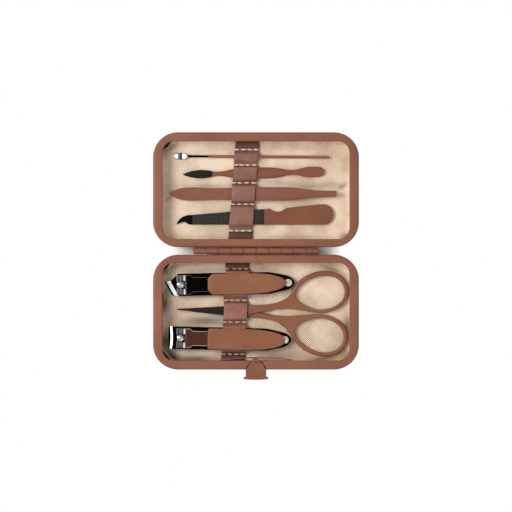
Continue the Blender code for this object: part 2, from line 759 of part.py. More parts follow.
def build_jaw(name, kind, upper, parent):
    """One spring-steel jaw: a side profile with a turned lip, swept across and trimmed in plan.
    Its own origin is on the rivet's line, at the jaw's face towards the other jaw."""
    reach = SLANT_JAW_REACH if kind == "slant" else STRAIGHT_JAW_REACH
    way = 1 if upper else -1
    lip = -way * JAW_LIP_TURN
    tail = JAW_TAIL + JAW_WIDTH
    profile = [
        (tail, 0),
        (tail, way * JAW_SHEET),
        (JAW_LIP_RUN - reach, way * JAW_SHEET),
        (-reach, lip + way * JAW_LIP_EDGE),
        (-reach, lip),
        (JAW_LIP_RUN - reach - JAW_SHEET, 0),
    ]
    if not upper:
        profile = profile[::-1]
    half = JAW_WIDTH / 2 + OVERRUN
    slices = 1 if kind == "slant" else 2 * ARC_STEPS + 1
    loops = []
    for i in range(slices + 1):
        y = half * (2 * i / slices - 1)
        shift = jaw_edge(kind, y)
        loops.append([(x + shift, y, z) for x, z in profile])
    jaw = add_object(name, mesh_from(name, loft(loops)), DARK_CHROME, parent)

    back = [(share * JAW_TAIL, width * JAW_WIDTH / 2) for share, width in JAW_TAIL_SHARES]
    waist = -JAW_TAPER_SHARE * reach
    sides = [(waist, JAW_WIDTH / 2), (waist / 2, JAW_WIDTH / 2 * JAW_WAIST_SHARE)]
    front = -reach - SLANT_RUN - OVERRUN
    if kind == "slant":
        shoulder = (SLANT_SHOULDER_SHARE - 1) * reach
        slope = (JAW_WIDTH / 2 - SLANT_POINT) / (shoulder + reach)
        point = (-reach - OVERRUN, SLANT_POINT - OVERRUN * slope)
        upper_side = [(shoulder, JAW_WIDTH / 2)] + sides + back
        lower_side = [(x, -y) for x, y in reversed(sides + back)]
        plan = [point] + upper_side + lower_side + [(front, -JAW_WIDTH / 2)]
    else:
        plan = mirrored([(front, JAW_WIDTH / 2)] + sides + back)
    deep = JAW_SHEET + JAW_LIP_TURN + OVERRUN
    combine(jaw, prism(plan, -deep, deep), name + "_plan", "INTERSECT", (0, 0, 0), (0, 0, 0), jaw)
    return jaw


def build_clipper(kind, rivet_x, line_y, turn):
    """Two jaws on a rivet, a post through both, and a lever hooked on the post by its crossbar."""
    reach = SLANT_JAW_REACH if kind == "slant" else STRAIGHT_JAW_REACH
    setback = SLANT_POST_SETBACK if kind == "slant" else STRAIGHT_POST_SETBACK
    post_x = setback - reach
    body = add_marker(kind + "_clipper", (rivet_x, line_y, 0), turn=(0, 0, turn))
    lower = add_marker(kind + "_base", (0, 0, TOOL_FLOOR + JAW_SHEET), body)
    hinge = add_marker(kind + "_jaw_axis", (0, 0, UPPER_JAW_LOW), body, (0, JAW_REST_ANGLE, 0))
    lower_jaw = build_jaw(kind + "_clipper_lower_jaw", kind, False, lower)
    upper_jaw = build_jaw(kind + "_clipper_upper_jaw", kind, True, hinge)

    arm = reach - setback
    jaw_top = UPPER_JAW_LOW + JAW_SHEET + (arm + LEVER_DROP) * math.sin(JAW_REST_ANGLE)
    bar_z = jaw_top + CROSSBAR_CLEAR + LEVER_DROP
    notch_half = CROSSBAR_RADIUS + CLEARANCE
    post_top = bar_z + notch_half + POST_CAP
    foot_top = TOOL_FLOOR + POST_FOOT_HEIGHT
    post = lathe(
        [
            (POST_FOOT_RADIUS, TOOL_FLOOR),
            (POST_FOOT_RADIUS, foot_top),
            (POST_RADIUS, foot_top),
            (POST_RADIUS, post_top - POST_CAP / 2),
            (POST_RADIUS - POST_CAP / 2, post_top),
        ]
    )
    name = kind + "_clipper_post"
    post_object = add_object(name, mesh_from(name, post), GREY_STEEL, body, (post_x, 0, 0))
    notch = slab(
        (POST_WEB - POST_RADIUS, POST_RADIUS + OVERRUN),
        (-POST_RADIUS - OVERRUN, POST_RADIUS + OVERRUN),
        (bar_z - notch_half, bar_z + notch_half),
    )
    cut(post_object, notch, name + "_notch", parent=post_object)
    for jaw, tag in ((lower_jaw, "lower"), (upper_jaw, "upper")):
        hole = rod(POST_RADIUS + CLEARANCE, 0, bar_z)
        cut(jaw, hole, f"{kind}_{tag}_post_hole", (post_x, 0, 0), parent=body)
        hole = rod(RIVET_RADIUS + CLEARANCE, 0, bar_z)
        cut(jaw, hole, f"{kind}_{tag}_rivet_hole", parent=body)
    seat = rod(POST_FOOT_RADIUS + CLEARANCE, 0, foot_top + LAYER_GAP)
    cut(lower_jaw, seat, kind + "_post_seat", (post_x, 0, 0), parent=body)

    head_low = UPPER_JAW_LOW + JAW_SHEET + LAYER_GAP
    dome = arc((0, head_low), RIVET_HEAD_RADIUS, 0, 80)
    squash = RIVET_HEAD_HEIGHT / RIVET_HEAD_RADIUS
    rivet = [(RIVET_RADIUS, TOOL_FLOOR), (RIVET_RADIUS, head_low)]
    rivet += [(r, head_low + (z - head_low) * squash) for r, z in dome]
    name = kind + "_clipper_rivet"
    add_object(name, mesh_from(name, lathe(rivet)), NICKEL, body)
    build_lever(kind, body, post_x, bar_z)


def build_lever(kind, body, post_x, bar_z):
    """A forked strip whose nose curls round the crossbar, and the painted grip on its back."""
    axis = add_marker(kind + "_lever_axis", (post_x, 0, bar_z), body)
    under = -LEVER_DROP
    top = under + LEVER_SHEET
    turn = 270 - math.degrees(LEVER_NOSE_TURN)
    side = [(LEVER_LENGTH, top), (LEVER_LENGTH, under)]
    side += arc((0, 0), LEVER_DROP, 270, turn)
    side += arc((0, 0), -top, turn, 270)
    half = LEVER_NOSE_WIDTH / 2 + OVERRUN
    strip = loft([[(x, y, z) for x, z in side] for y in (-half, half)])
    name = kind + "_clipper_lever"
    lever = add_object(name, mesh_from(name, strip), DARK_CHROME, axis)
    nose = LEVER_NOSE_WIDTH / 2
    neck = LEVER_NECK_WIDTH / 2
    plan = [(-LEVER_DROP - OVERRUN, nose), (LEVER_NOSE_BACK, nose)]
    plan += [(LEVER_NOSE_BACK + nose - neck, neck)]
    plan += [(LEVER_LENGTH * x, neck * y) for x, y in LEVER_TAIL_SHARES]
    trim = prism(mirrored(plan), under - OVERRUN, LEVER_DROP + OVERRUN)
    combine(lever, trim, name + "_plan", "INTERSECT", (0, 0, 0), (0, 0, 0), lever)
    slot = POST_RADIUS + CLEARANCE
    fork = slab((-LEVER_DROP - OVERRUN, FORK_BACK), (-slot, slot), (under - OVERRUN, LEVER_DROP))
    cut(lever, fork, name + "_fork", parent=lever)
    for way, tag in ((1, "left"), (-1, "right")):
        inner = way * (slot + LAYER_GAP)
        outer = inner + way * EAR_WIDTH
        ear = slab(
            (-EAR_LENGTH / 2, EAR_LENGTH / 2),
            (min(inner, outer), max(inner, outer)),
            (under + LEVER_SHEET / 2, CROSSBAR_RADIUS + LAYER_GAP / 2),
        )
        fuse(lever, ear, f"{name}_ear_{tag}", parent=lever)
        edge = way * neck
        flange_in = edge - way * LEVER_FLANGE_WIDTH
        flange = slab(
            (LEVER_NOSE_BACK + nose - neck + LAYER_GAP, LEVER_NECK_END - CLEARANCE),
            (min(edge, flange_in), max(edge, flange_in)),
            (under + LEVER_SHEET / 2, top + LEVER_FLANGE_HEIGHT),
        )
        fuse(lever, flange, f"{name}_flange_{tag}", parent=lever)
    reach = slot + LAYER_GAP + EAR_WIDTH / 2
    bar = rod(CROSSBAR_RADIUS, -reach, reach, BAR_SIDES)
    fuse(lever, bar, name + "_crossbar", (0, 0, 0), (math.pi / 2, 0, 0), lever)

    low = top + LAYER_GAP
    loops = []
    for along, across in GRIP_SHARES:
        x = LEVER_NECK_END + GRIP_LENGTH * along
        tall = GRIP_HEIGHT * (1 - GRIP_THIN_SHARE * (1 - across))
        loops.append(squarish(GRIP_WIDTH * across, tall, (0, low + tall / 2), x))
    grip = mesh_from(kind + "_clipper_grip", loft(loops))
    add_object(kind + "_clipper_grip", grip, PAINT, axis)


def build_scissor_half(which, marker):
    """A finger ring, its shank, and a blade half as thick that crosses the other at the pivot."""
    upper = which == "upper"
    way = 1 if upper else -1
    full_low = TOOL_FLOOR
    full_top = TOOL_FLOOR + 2 * BLADE_SHEET + LAYER_GAP
    low = full_top - BLADE_SHEET if upper else full_low
    top = low + BLADE_SHEET
    seam = way * CLEARANCE / 2
    start = SHANK_START_SHARE * RING_SETBACK
    lap = SHANK_LAP_SHARE * RING_SETBACK
    half = BLADE_WIDTH / 2
    outer = [(x * BLADE_LENGTH, way * y * half) for x, y in BLADE_OUTER_SHARES]
    inner = [(x * BLADE_LENGTH, way * y * half) for x, y in BLADE_INNER_SHARES]
    lap_in = way * RING_WIDTH * SHANK_GAP_SHARES[which][0][1] + seam
    lap_out = way * RING_WIDTH * SHANK_OUTER_SHARES[which][-1][1]
    blade = outer + [(start, seam), (lap, lap_in), (lap, lap_out - seam)] + inner[::-1]
    name = f"scissors_{which}_half"
    mesh = mesh_from(name, prism(blade, low, top), smooth=False)
    piece = add_object(name, mesh, PAINT, marker)

    inside = [(x * RING_SETBACK, way * y * RING_WIDTH + seam) for x, y in SHANK_GAP_SHARES[which]]
    outside = [
        (x * RING_SETBACK, way * y * RING_WIDTH)
        for x, y in SHANK_BAND_SHARES + SHANK_OUTER_SHARES[which]
    ]
    shank = [(start + CLEARANCE, seam)] + inside + outside
    trim = LAYER_GAP / 5
    fuse(piece, prism(shank, full_low + trim, full_top - trim), name + "_shank", parent=piece)

    size = 1 if upper else LOWER_RING_SHARE
    long_axis = (size * RING_HOLE_LENGTH + RING_BAND) / 2
    short_axis = (size * RING_HOLE_WIDTH + RING_BAND) / 2
    loops = []
    for i in range(2 * ROUND_SIDES):
        angle = math.pi * i / ROUND_SIDES
        c = math.cos(angle)
        s = math.sin(angle)
        across = short_axis * s * (1 + RING_EGG * c)
        slope = short_axis * (c + RING_EGG * (c * c - s * s))
        spread = Vector((slope, long_axis * s)).normalized()
        loop = []
        for j in range(BAND_SIDES):
            around = 2 * math.pi * (j + 0.5) / BAND_SIDES
            flat = math.cos(math.pi / BAND_SIDES)
            out = RING_BAND / 2 * math.cos(around) / flat
            rise = (full_top - full_low) / 2 * math.sin(around) / flat
            loop.append((long_axis * c + spread.x * out, across + spread.y * out, rise))
        loops.append(loop)
    ring = loft(loops, ring=True)
    middle = (full_low + full_top) / 2
    setback = RING_SETBACK if upper else RING_SETBACK + LOWER_RING_SHIFT
    place = (setback, way * (RING_WIDTH * RING_BULGE_SHARE + CLEARANCE) / 2, middle)
    fuse(piece, ring, name + "_ring", place, (0, 0, -way * RING_TILT), piece)
    hole = rod(SCREW_RADIUS + CLEARANCE, full_low - OVERRUN, full_top + OVERRUN)
    cut(piece, hole, name + "_screw_hole", parent=piece)
    if upper:
        seat_low = full_top - SCREW_HEAD_HEIGHT - LAYER_GAP
        seat = rod(SCREW_HEAD_RADIUS + CLEARANCE, seat_low, full_top + OVERRUN)
        cut(piece, seat, name + "_screw_seat", parent=piece)
    return full_low, full_top


def build_scissors():
    place = (PIVOT_X, SCISSORS_LINE_Y, 0)
    fixed = add_marker("scissors_pivot", place, turn=(0, 0, SCISSORS_TURN))
    moving = add_marker("scissors_pivot_moving", place, turn=(0, 0, SCISSORS_TURN))
    low, top = build_scissor_half("upper", fixed)
    build_scissor_half("lower", moving)
    neck = top - SCREW_HEAD_HEIGHT
    screw = [(SCREW_RADIUS, low), (SCREW_RADIUS, neck), (SCREW_HEAD_RADIUS, neck)]
    screw += [(SCREW_HEAD_RADIUS, top)]
    add_object("scissors_screw", mesh_from("scissors_screw", lathe(screw)), STEEL, fixed)
    return top


def lid_row_y(index):
    """Where a lid tool's centre line lies, from its share of the cavity."""
    share = LID_ROW_SHARES[index]
    hinge_side = LID_Y - CAVITY_BACK
    return hinge_side + share * CAVITY_WIDTH


def build_ear_pick():
    """A steel wire with a flattened spoon at one end."""
    start = -EAR_PICK_LENGTH / 2
    centre = (0, TOOL_FLOOR + EAR_PICK_ROD / 2)
    loops = []
    for along, across, tall in EAR_PICK_SHARES:
        x = start + EAR_PICK_LENGTH * along
        loops.append(squarish(EAR_PICK_SPOON * across, EAR_PICK_ROD * tall, centre, x, 2.2, 10))
    place = (EAR_PICK_SHIFT, lid_row_y(0), 0)
    add_object("ear_pick", mesh_from("ear_pick", loft(loops)), PAINT, None, place)


def build_pusher():
    """A flat bar: a rough leaf at one end, a grip in the middle and a spade at the other."""
    start = -PUSHER_LENGTH / 2
    centre = (0, TOOL_FLOOR + PUSHER_HEIGHT / 2)
    loops = []
    for along, across, tall in PUSHER_SHARES:
        x = start + PUSHER_LENGTH * along
        loops.append(squarish(PUSHER_WIDTH * across, PUSHER_HEIGHT * tall, centre, x, 2.6))
    place = (PUSHER_SHIFT, lid_row_y(1), 0)
    add_object("cuticle_pusher", mesh_from("cuticle_pusher", loft(loops)), PAINT, None, place)


def build_tweezers():
    """Two tapered strips, one on the other, joined at the heel and sprung apart at the tips."""
    start = TWEEZERS_SHIFT - TWEEZERS_LENGTH / 2
    axis_x = start + TWEEZERS_HEEL
    upper_low = TOOL_FLOOR + TWEEZERS_SHEET + LAYER_GAP
    fixed = add_marker("tweezers_slide", (axis_x, lid_row_y(2), TOOL_FLOOR))
    sprung = add_marker(
        "tweezers_axis", (axis_x, lid_row_y(2), upper_low), turn=(0, -TWEEZERS_SPREAD, 0)
    )
    centre = (0, TWEEZERS_SHEET / 2)
    for name, marker in (("lower", fixed), ("upper", sprung)):
        loops = []
        for along, across in TWEEZERS_SHARES:
            x = TWEEZERS_LENGTH * along - TWEEZERS_HEEL
            loops.append(squarish(TWEEZERS_WIDTH * across, TWEEZERS_SHEET, centre, x, 4.0, 8))
        title = f"tweezers_{name}_arm"
        add_object(title, mesh_from(title, loft(loops)), PAINT, marker)


def build_file():
    """A flat steel strip: hooked trimmer tip, tapered file, and a painted handle with a thumb
    notch and a round end."""
    half = FILE_LENGTH / 2
    width = FILE_HANDLE_WIDTH
    end_radius = width / 2
    notch_x = FILE_NOTCH_SHARE * FILE_LENGTH - half
    notch_y = FILE_NOTCH_WIDTH_SHARE * width
    curve = FILE_NOTCH_LENGTH / 2
    bow = [i / ARC_STEPS for i in range(-ARC_STEPS, ARC_STEPS + 1)]
    notch = [
        (notch_x + curve * b, notch_y - FILE_NOTCH_DEPTH * math.cos(b * math.pi / 2) ** 0.7)
        for b in bow
    ]
    outline = [(x * FILE_LENGTH - half, y * width) for x, y in FILE_FRONT_SHARES]
    outline += notch
    outline += [(FILE_BROAD_SHARE * FILE_LENGTH - half, width)]
    outline += arc((half - end_radius, end_radius), end_radius, 80, -90, 2 * ARC_STEPS)
    outline += [(FILE_HEEL_SHARE * FILE_LENGTH - half, 0)]
    outline += [(x * FILE_LENGTH - half, y * width) for x, y in FILE_HOOK_SHARES]
    work = prism(outline, TOOL_FLOOR, TOOL_FLOOR + FILE_SHEET)
    place = (FILE_SHIFT, lid_row_y(3) - width / 2, 0)
    add_object("nail_file", mesh_from("nail_file", work, smooth=False), DARK_CHROME, None, place)


def build_straps(scissors_top):
    """Both straps, from what they hold down and the walls they are tucked along."""
    ahead = RIVET_X - BASE_STRAP_MIDDLE + STRAP_WIDTH / 2 + BASE_STRAP_LEAN * SLANT_PITCH
    rise = ahead * math.sin(JAW_REST_ANGLE)
    jaw_top = UPPER_JAW_LOW + JAW_SHEET + rise
    lean = math.sin(CLIPPER_TURN)
    half_jaw = JAW_WIDTH / 2 + lean * STRAP_WIDTH / 2
    half_blade = BLADE_WIDTH / 2 + CLEARANCE
    slant_y = SLANT_Y - lean * (RIVET_X - BASE_STRAP_MIDDLE)
    straight_y = STRAIGHT_Y + lean * (RIVET_X + STRAIGHT_RIVET_SHIFT - BASE_STRAP_MIDDLE)
    bumps = [
        (straight_y - half_jaw, straight_y + half_jaw, jaw_top),
        (SCISSORS_LINE_Y - half_blade, SCISSORS_LINE_Y + half_blade, scissors_top),
        (slant_y - half_jaw, slant_y + half_jaw, jaw_top),
    ]
    line = strap_line(bumps, CAVITY_FRONT, CAVITY_BACK)
    work = strap_solid(line, STRAP_WIDTH, BASE_STRAP_LEAN, 0)
    mesh = mesh_from("base_strap", work)
    add_object("base_strap", mesh, LEATHER, None, (BASE_STRAP_MIDDLE, 0, 0))

    spread = TWEEZERS_LENGTH * TWEEZERS_STRAP_SHARE * math.sin(TWEEZERS_SPREAD)
    file_edge = lid_row_y(3) - FILE_HANDLE_WIDTH / 2
    file_back = file_edge + FILE_STRAP_SHARE * FILE_HANDLE_WIDTH
    bumps = [(file_edge, file_back, TOOL_FLOOR + FILE_SHEET)]
    tweezers_top = TOOL_FLOOR + 2 * TWEEZERS_SHEET + LAYER_GAP + spread
    for index, half, top in (
        (2, TWEEZERS_WIDTH / 2, tweezers_top),
        (1, PUSHER_WIDTH / 2, TOOL_FLOOR + PUSHER_HEIGHT),
        (0, EAR_PICK_ROD, TOOL_FLOOR + EAR_PICK_ROD),
    ):
        middle = lid_row_y(index)
        bumps.append((middle - half, middle + half, top))
    line = strap_line(bumps, LID_Y - CAVITY_BACK, LID_Y - CAVITY_FRONT)
    work = strap_solid(line, STRAP_WIDTH, LID_STRAP_LEAN, LID_Y)
    mesh = mesh_from("lid_strap", work)
    add_object("lid_strap", mesh, LEATHER, None, (LID_STRAP_MIDDLE, 0, 0))


clear_scene()
PAINT = finish("brown_paint", "9A6552", 0.5)
LEATHER = finish("brown_leather", "7E5546", 0.6)
LINING = finish("cream_lining", "D9BFA0", 0.7)
BOARD = finish("grey_board", "9C9184", 0.9)
FOAM = finish("white_foam", "E8E2D8", 0.95)
STEEL = finish("steel", "8C8A88", 0.35, 1.0)
GREY_STEEL = finish("grey_steel", "7B7875", 0.4, 1.0)
NICKEL = finish("nickel", "C8C3BC", 0.25, 1.0)
DARK_CHROME = finish("dark_chrome", "1E1C1C", 0.2, 1.0)

base = add_marker("base_tray", (0, 0, 0))
lid = add_marker("lid_tray", (0, LID_Y, 0))
build_tray("base", base, 0)
build_tray("lid", lid, math.pi)
frame_of_base = build_frame("base", base, 0)
frame_of_lid = build_frame("lid", lid, math.pi)
build_hinge_leaf("base_hinge_leaf", base, 0)
build_hinge_leaf("lid_hinge_leaf", lid, math.pi)
build_hinge_pin()
build_latch(frame_of_base, frame_of_lid, lid)
build_clipper("slant", RIVET_X, SLANT_Y, CLIPPER_TURN)
build_clipper("straight", RIVET_X + STRAIGHT_RIVET_SHIFT, STRAIGHT_Y, -CLIPPER_TURN)
scissors_height = build_scissors()
build_ear_pick()
build_pusher()
build_tweezers()
build_file()
build_straps(scissors_height)
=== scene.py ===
"""Looks of a manicure set case, open flat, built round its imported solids. Shapes are worked out in
millimetres and set down in metres, +Z up, the base tray's underside centred on the origin."""

import math

import bmesh
import bpy
import numpy as np
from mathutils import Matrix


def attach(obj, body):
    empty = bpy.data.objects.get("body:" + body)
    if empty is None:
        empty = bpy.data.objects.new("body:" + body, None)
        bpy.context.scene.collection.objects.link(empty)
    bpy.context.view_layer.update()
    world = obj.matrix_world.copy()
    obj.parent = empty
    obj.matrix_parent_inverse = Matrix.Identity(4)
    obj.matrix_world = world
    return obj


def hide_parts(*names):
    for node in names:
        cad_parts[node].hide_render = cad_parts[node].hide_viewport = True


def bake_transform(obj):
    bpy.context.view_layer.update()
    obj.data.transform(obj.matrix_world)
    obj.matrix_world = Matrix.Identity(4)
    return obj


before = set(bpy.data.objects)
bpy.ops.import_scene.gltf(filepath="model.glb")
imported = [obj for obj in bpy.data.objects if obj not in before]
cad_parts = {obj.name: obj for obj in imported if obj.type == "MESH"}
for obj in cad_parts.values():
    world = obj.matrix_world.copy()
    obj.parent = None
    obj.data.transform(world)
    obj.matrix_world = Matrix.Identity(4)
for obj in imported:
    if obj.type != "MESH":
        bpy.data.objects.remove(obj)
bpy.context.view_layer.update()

# ---- Floor, light and camera. A pale matt sheet lies under the case, lit by one broad soft lamp
# from the left and by an even sky; the camera looks straight down through a long lens.


def linear(hex_colour):
    """A screen colour as light: each channel over 255, through the sRGB curve, and opaque."""
    shares = np.array([int(hex_colour[i : i + 2], 16) for i in (0, 2, 4)]) / 255
    light = np.where(shares <= 0.04045, shares / 12.92, ((shares + 0.055) / 1.055) ** 2.4)
    return (*light.tolist(), 1.0)


def put(name, data):
    """A new object of that data, in the scene."""
    thing = bpy.data.objects.new(name, data)
    bpy.context.scene.collection.objects.link(thing)
    return thing


def join(made, inputs):
    """Links or fills a node's inputs. A node given as a value stands for its first live output, and
    a text for the screen colour that it names."""
    for key, value in inputs.items():
        if isinstance(value, str):
            value = linear(value)
        if isinstance(value, bpy.types.Node):
            value = next(socket for socket in value.outputs if socket.enabled)
        if isinstance(value, bpy.types.NodeSocket):
            made.id_data.links.new(value, made.inputs[key])
        else:
            made.inputs[key].default_value = value
    return made


def node(tree, kind, inputs, **settings):
    """Adds one node, with its own settings and its inputs linked or filled."""
    made = tree.nodes.new("ShaderNode" + kind)
    for key, value in settings.items():
        setattr(made, key, value)
    return join(made, inputs)


def finish(name, roughness, metallic=0.0, **sockets):
    """A material with its shader's plain values set; with it, its node tree, its shader and the
    object's own coordinates to build on."""
    material = bpy.data.materials.new(name)
    material.use_nodes = True
    tree = material.node_tree
    shader = tree.nodes["Principled BSDF"]
    plain = {key.replace("_", " "): value for key, value in sockets.items()}
    join(shader, {"Roughness": roughness, "Metallic": metallic, **plain})
    return material, tree, shader, node(tree, "TexCoord", {}).outputs["Object"]


# Matt paper, seen as plain white but near the case, where its own shaded face shows.
paper, tree, shader, _ = finish("matt_white_paper", 0.9)
rays = node(tree, "LightPath", {}).outputs
seen = node(tree, "Math", {0: rays["Is Camera Ray"], 1: rays["Is Glossy Ray"]}, operation="MAXIMUM")
seen = node(tree, "Math", {0: seen, 1: rays["Is Transmission Ray"]}, operation="MAXIMUM")
open_sky = node(tree, "AmbientOcclusion", {"Distance": 0.02}).outputs["AO"]
near = node(tree, "MapRange", {"Value": open_sky, "From Min": 0.2, "From Max": 0.34})
share = node(tree, "Math", {0: seen, 1: near}, operation="MULTIPLY")
white = node(tree, "Emission", {"Color": (1, 1, 1, 1), "Strength": 1.0})
join(shader, {"Base Color": "F6F4F1"})
sheet_mix = node(tree, "MixShader", {0: share, 1: shader, 2: white})
join(tree.nodes["Material Output"], {"Surface": sheet_mix})
floor_mesh = bpy.data.meshes.new("floor")
reach, floor_drop = 1.5, 0.0003
corners = [(-reach, -reach), (reach, -reach), (reach, reach), (-reach, reach)]
floor_mesh.from_pydata([(x, y, -floor_drop) for x, y in corners], [], [(0, 1, 2, 3)])
floor_mesh.materials.append(paper)
put("floor", floor_mesh)

world = bpy.data.worlds.new("sky")
bpy.context.scene.world = world
world.use_nodes = True
tree = world.node_tree
mirrored = node(tree, "LightPath", {}).outputs["Is Glossy Ray"]
glow = node(tree, "MapRange", {"Value": mirrored, "To Min": 0.46, "To Max": 0.75})
join(tree.nodes["Background"], {"Color": (1, 0.99, 0.975, 1), "Strength": glow})
case_middle = np.array((0, 0.034, 0))
for name, at, size, watts in (
    ("key", (-0.38, 0.14, 0.5), 0.26, 2.3),
    ("fill", (0.3, -0.3, 0.6), 0.5, 0.4),
):
    lamp = bpy.data.lights.new(name, "AREA")
    lamp.size, lamp.energy = size, watts
    holder = put(name, lamp)
    holder.location = at
    aim = case_middle - np.array(at)
    turn = math.atan2(math.hypot(aim[0], aim[1]), -aim[2])
    holder.rotation_euler = (turn, 0, math.atan2(-aim[0], aim[1]))

lens = bpy.data.cameras.new("overhead")
lens.lens, lens.sensor_width = 100, 36
camera = put("overhead", lens)
frame_width, rim_height = 0.2858, 0.013  # what the picture takes in at the height of the rims
camera.location = (0.0, 0.0314, rim_height + frame_width * lens.lens / lens.sensor_width)
bpy.context.scene.camera = camera
bpy.context.scene.view_settings.view_transform = "Standard"

# ---- Covers. Each tray's outer skin is imitation leather, drawn wet over a fibre shell, with a
# flat underside and a broad round edge; its top edge is clamped inside the steel rim.
MM = 0.001
LID_Y = 68.5  # the lid tray is the base tray's outline, half a turn round and this far along Y
HALF_LENGTH, HALF_WIDTH = 57.55, 32.1
RIM_SIDE, RIM_FRONT, RIM_BACK = 5.2, 5.0, 4.5
OUTER_CORNER, INNER_CORNER = 14.0, 6.5


def tray_line(inset, bend=20, side=2):
    """A tray's outline moved inwards by inset: quarter circles that tighten with depth, joined by
    straight sides of side steps each, as an array of (x, y)."""
    depth = inset / RIM_SIDE
    half = HALF_LENGTH - inset
    back = HALF_WIDTH - RIM_BACK * depth
    front = RIM_FRONT * depth - HALF_WIDTH
    radius = OUTER_CORNER + (INNER_CORNER - OUTER_CORNER) * min(depth, 1)
    centres = np.array([(half - radius, back - radius), (radius - half, back - radius)])
    centres = np.vstack([centres, [(radius - half, front + radius), (half - radius, front + radius)]])
    angles = np.radians(90 * (np.arange(4)[:, None] + np.linspace(0, 1, bend + 1)))
    arcs = centres[:, None] + radius * np.stack([np.cos(angles), np.sin(angles)], -1)
    steps = np.linspace(0, 1, side + 1)[1:-1, None]
    ends, starts = arcs[:, -1:], np.roll(arcs, -1, 0)[:, :1]
    return np.concatenate([arcs, ends + (starts - ends) * steps], 1).reshape(-1, 2)


def round_tray(section, **steps):
    """Loops of (x, y, z), one round the tray for each (inset, height) of a wall's section."""
    lines = [tray_line(inset, **steps) for inset, _ in section]
    return np.stack([np.column_stack([p, np.full(len(p), z)]) for p, (_, z) in zip(lines, section)])


def bow(centre, radius, start, end, steps=6):
    """Points on part of a circle, from angle start to end in degrees."""
    angles = np.radians(np.linspace(start, end, steps + 1))
    return [(centre[0] + radius * math.cos(a), centre[1] + radius * math.sin(a)) for a in angles]


def wrap(rows, ring=False):
    """Points and faces of a skin over closed loops of equal counts. Neighbouring loops are joined by
    quads; a ring's last loop joins its first, and any other skin is closed by its two end loops."""
    count, size = rows.shape[:2]
    index = np.arange(count * size).reshape(count, size)
    near, far = (index, np.roll(index, -1, 0)) if ring else (index[:-1], index[1:])
    quads = np.stack([near, np.roll(near, -1, 1), np.roll(far, -1, 1), far], -1)
    faces = quads.reshape(-1, 4).tolist()
    if not ring:
        faces += [index[0, ::-1].tolist(), index[-1].tolist()]
    return rows.reshape(-1, 3), faces


def together(*parts):
    """Several (points, faces, finish number) parts as one, the numbers of later faces moved on."""
    points, faces, kinds = [], [], []
    for part in parts:
        start = sum(len(p) for p in points)
        kind = part[2] if len(part) > 2 else 0
        faces += [[start + i for i in face] for face in part[1]]
        kinds += list(kind) if np.ndim(kind) else [kind] * len(part[1])
        points.append(part[0])
    return np.vstack(points), faces, kinds


def place(part, at=(0, 0, 0), turn=0.0, pitch=0.0):
    """A part pitched about Y, then turned about Z, both in degrees, then moved."""
    p, t = math.radians(pitch), math.radians(turn)
    tip = np.array([(math.cos(p), 0, math.sin(p)), (0, 1, 0), (-math.sin(p), 0, math.cos(p))])
    spin = np.array([(math.cos(t), -math.sin(t), 0), (math.sin(t), math.cos(t), 0), (0, 0, 1)])
    return (part[0] @ (spin @ tip).T + np.array(at), *part[1:])


def over(part):
    """A part of the base tray set down where the lid's is: half a turn about Z, then along Y."""
    return (part[0] * (-1, -1, 1) + np.array((0, LID_Y, 0)), *part[1:])


def make(name, part, finishes, body, nodes=(), cutters=(), sharp=35):
    """A finished piece from points in millimetres: its mesh with outward faces, cut by the cutters'
    shapes, smooth but for edges sharper than an angle, on its body and in place of its nodes."""
    thing = put(name, mesh_of(name, part, finishes))
    for cutter in cutters:
        tool = put("cutter", mesh_of("cutter", cutter, finishes[:1]))
        cut = thing.modifiers.new("cut", "BOOLEAN")
        cut.solver, cut.operation, cut.object, cut.use_self = "EXACT", "DIFFERENCE", tool, True
        graph = bpy.context.evaluated_depsgraph_get()
        thing.data = bpy.data.meshes.new_from_object(thing.evaluated_get(graph))
        thing.modifiers.clear()
        bpy.data.objects.remove(tool)
    thing.data.shade_smooth()
    thing.data.set_sharp_from_angle(angle=math.radians(sharp))
    if body:
        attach(thing, body)
    if nodes:
        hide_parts(*nodes)
    return thing


def mesh_of(name, part, finishes):
    """A mesh of a part's points and faces, all facing out, with a finish number for each face."""
    points, faces, *kinds = part
    mesh = bpy.data.meshes.new(name)
    mesh.from_pydata((np.asarray(points) * MM).tolist(), [], [list(f) for f in faces])
    for material in finishes:
        mesh.materials.append(material)
    if kinds:
        numbers = kinds[0] if np.ndim(kinds[0]) else [kinds[0]] * len(faces)
        mesh.polygons.foreach_set("material_index", np.array(numbers, np.int32))
    work = bmesh.new()
    work.from_mesh(mesh)
    bmesh.ops.recalc_face_normals(work, faces=work.faces)
    work.to_mesh(mesh)
    work.free()
    return mesh


# Imitation leather, embossed and matt: a pebble grain of about 0.7 mm with fine creases, so light
# breaks up on it and the colour deepens in the grooves.
def leather(name, colour, deep):
    """Embossed leather: cells of 0.7 mm make the bump, and noise varies the colour."""
    material, tree, shader, where = finish(name, 0.55, Specular_IOR_Level=0.35)
    cell_scale = 1000 / 0.7
    cells = node(tree, "TexVoronoi", {"Vector": where, "Scale": cell_scale}, feature="DISTANCE_TO_EDGE")
    ridge = node(tree, "MapRange", {"Value": cells, "From Max": 0.28})
    crease = node(tree, "TexNoise", {"Vector": where, "Scale": 260.0, "Detail": 6.0, "Roughness": 0.6})
    tone = node(tree, "MapRange", {"Value": crease, "From Min": 0.3, "From Max": 0.75})
    base = node(tree, "Mix", {0: tone, 6: deep, 7: colour}, data_type="RGBA")
    wear_and_painted_shade = node(tree, "Mix", {0: ridge, 6: deep, 7: base}, data_type="RGBA")
    height = node(tree, "Math", {0: ridge, 1: crease}, operation="ADD")
    bump = node(tree, "Bump", {"Height": height, "Distance": 0.00006, "Strength": 0.6})
    join(shader, {"Base Color": wear_and_painted_shade, "Normal": bump})
    return material


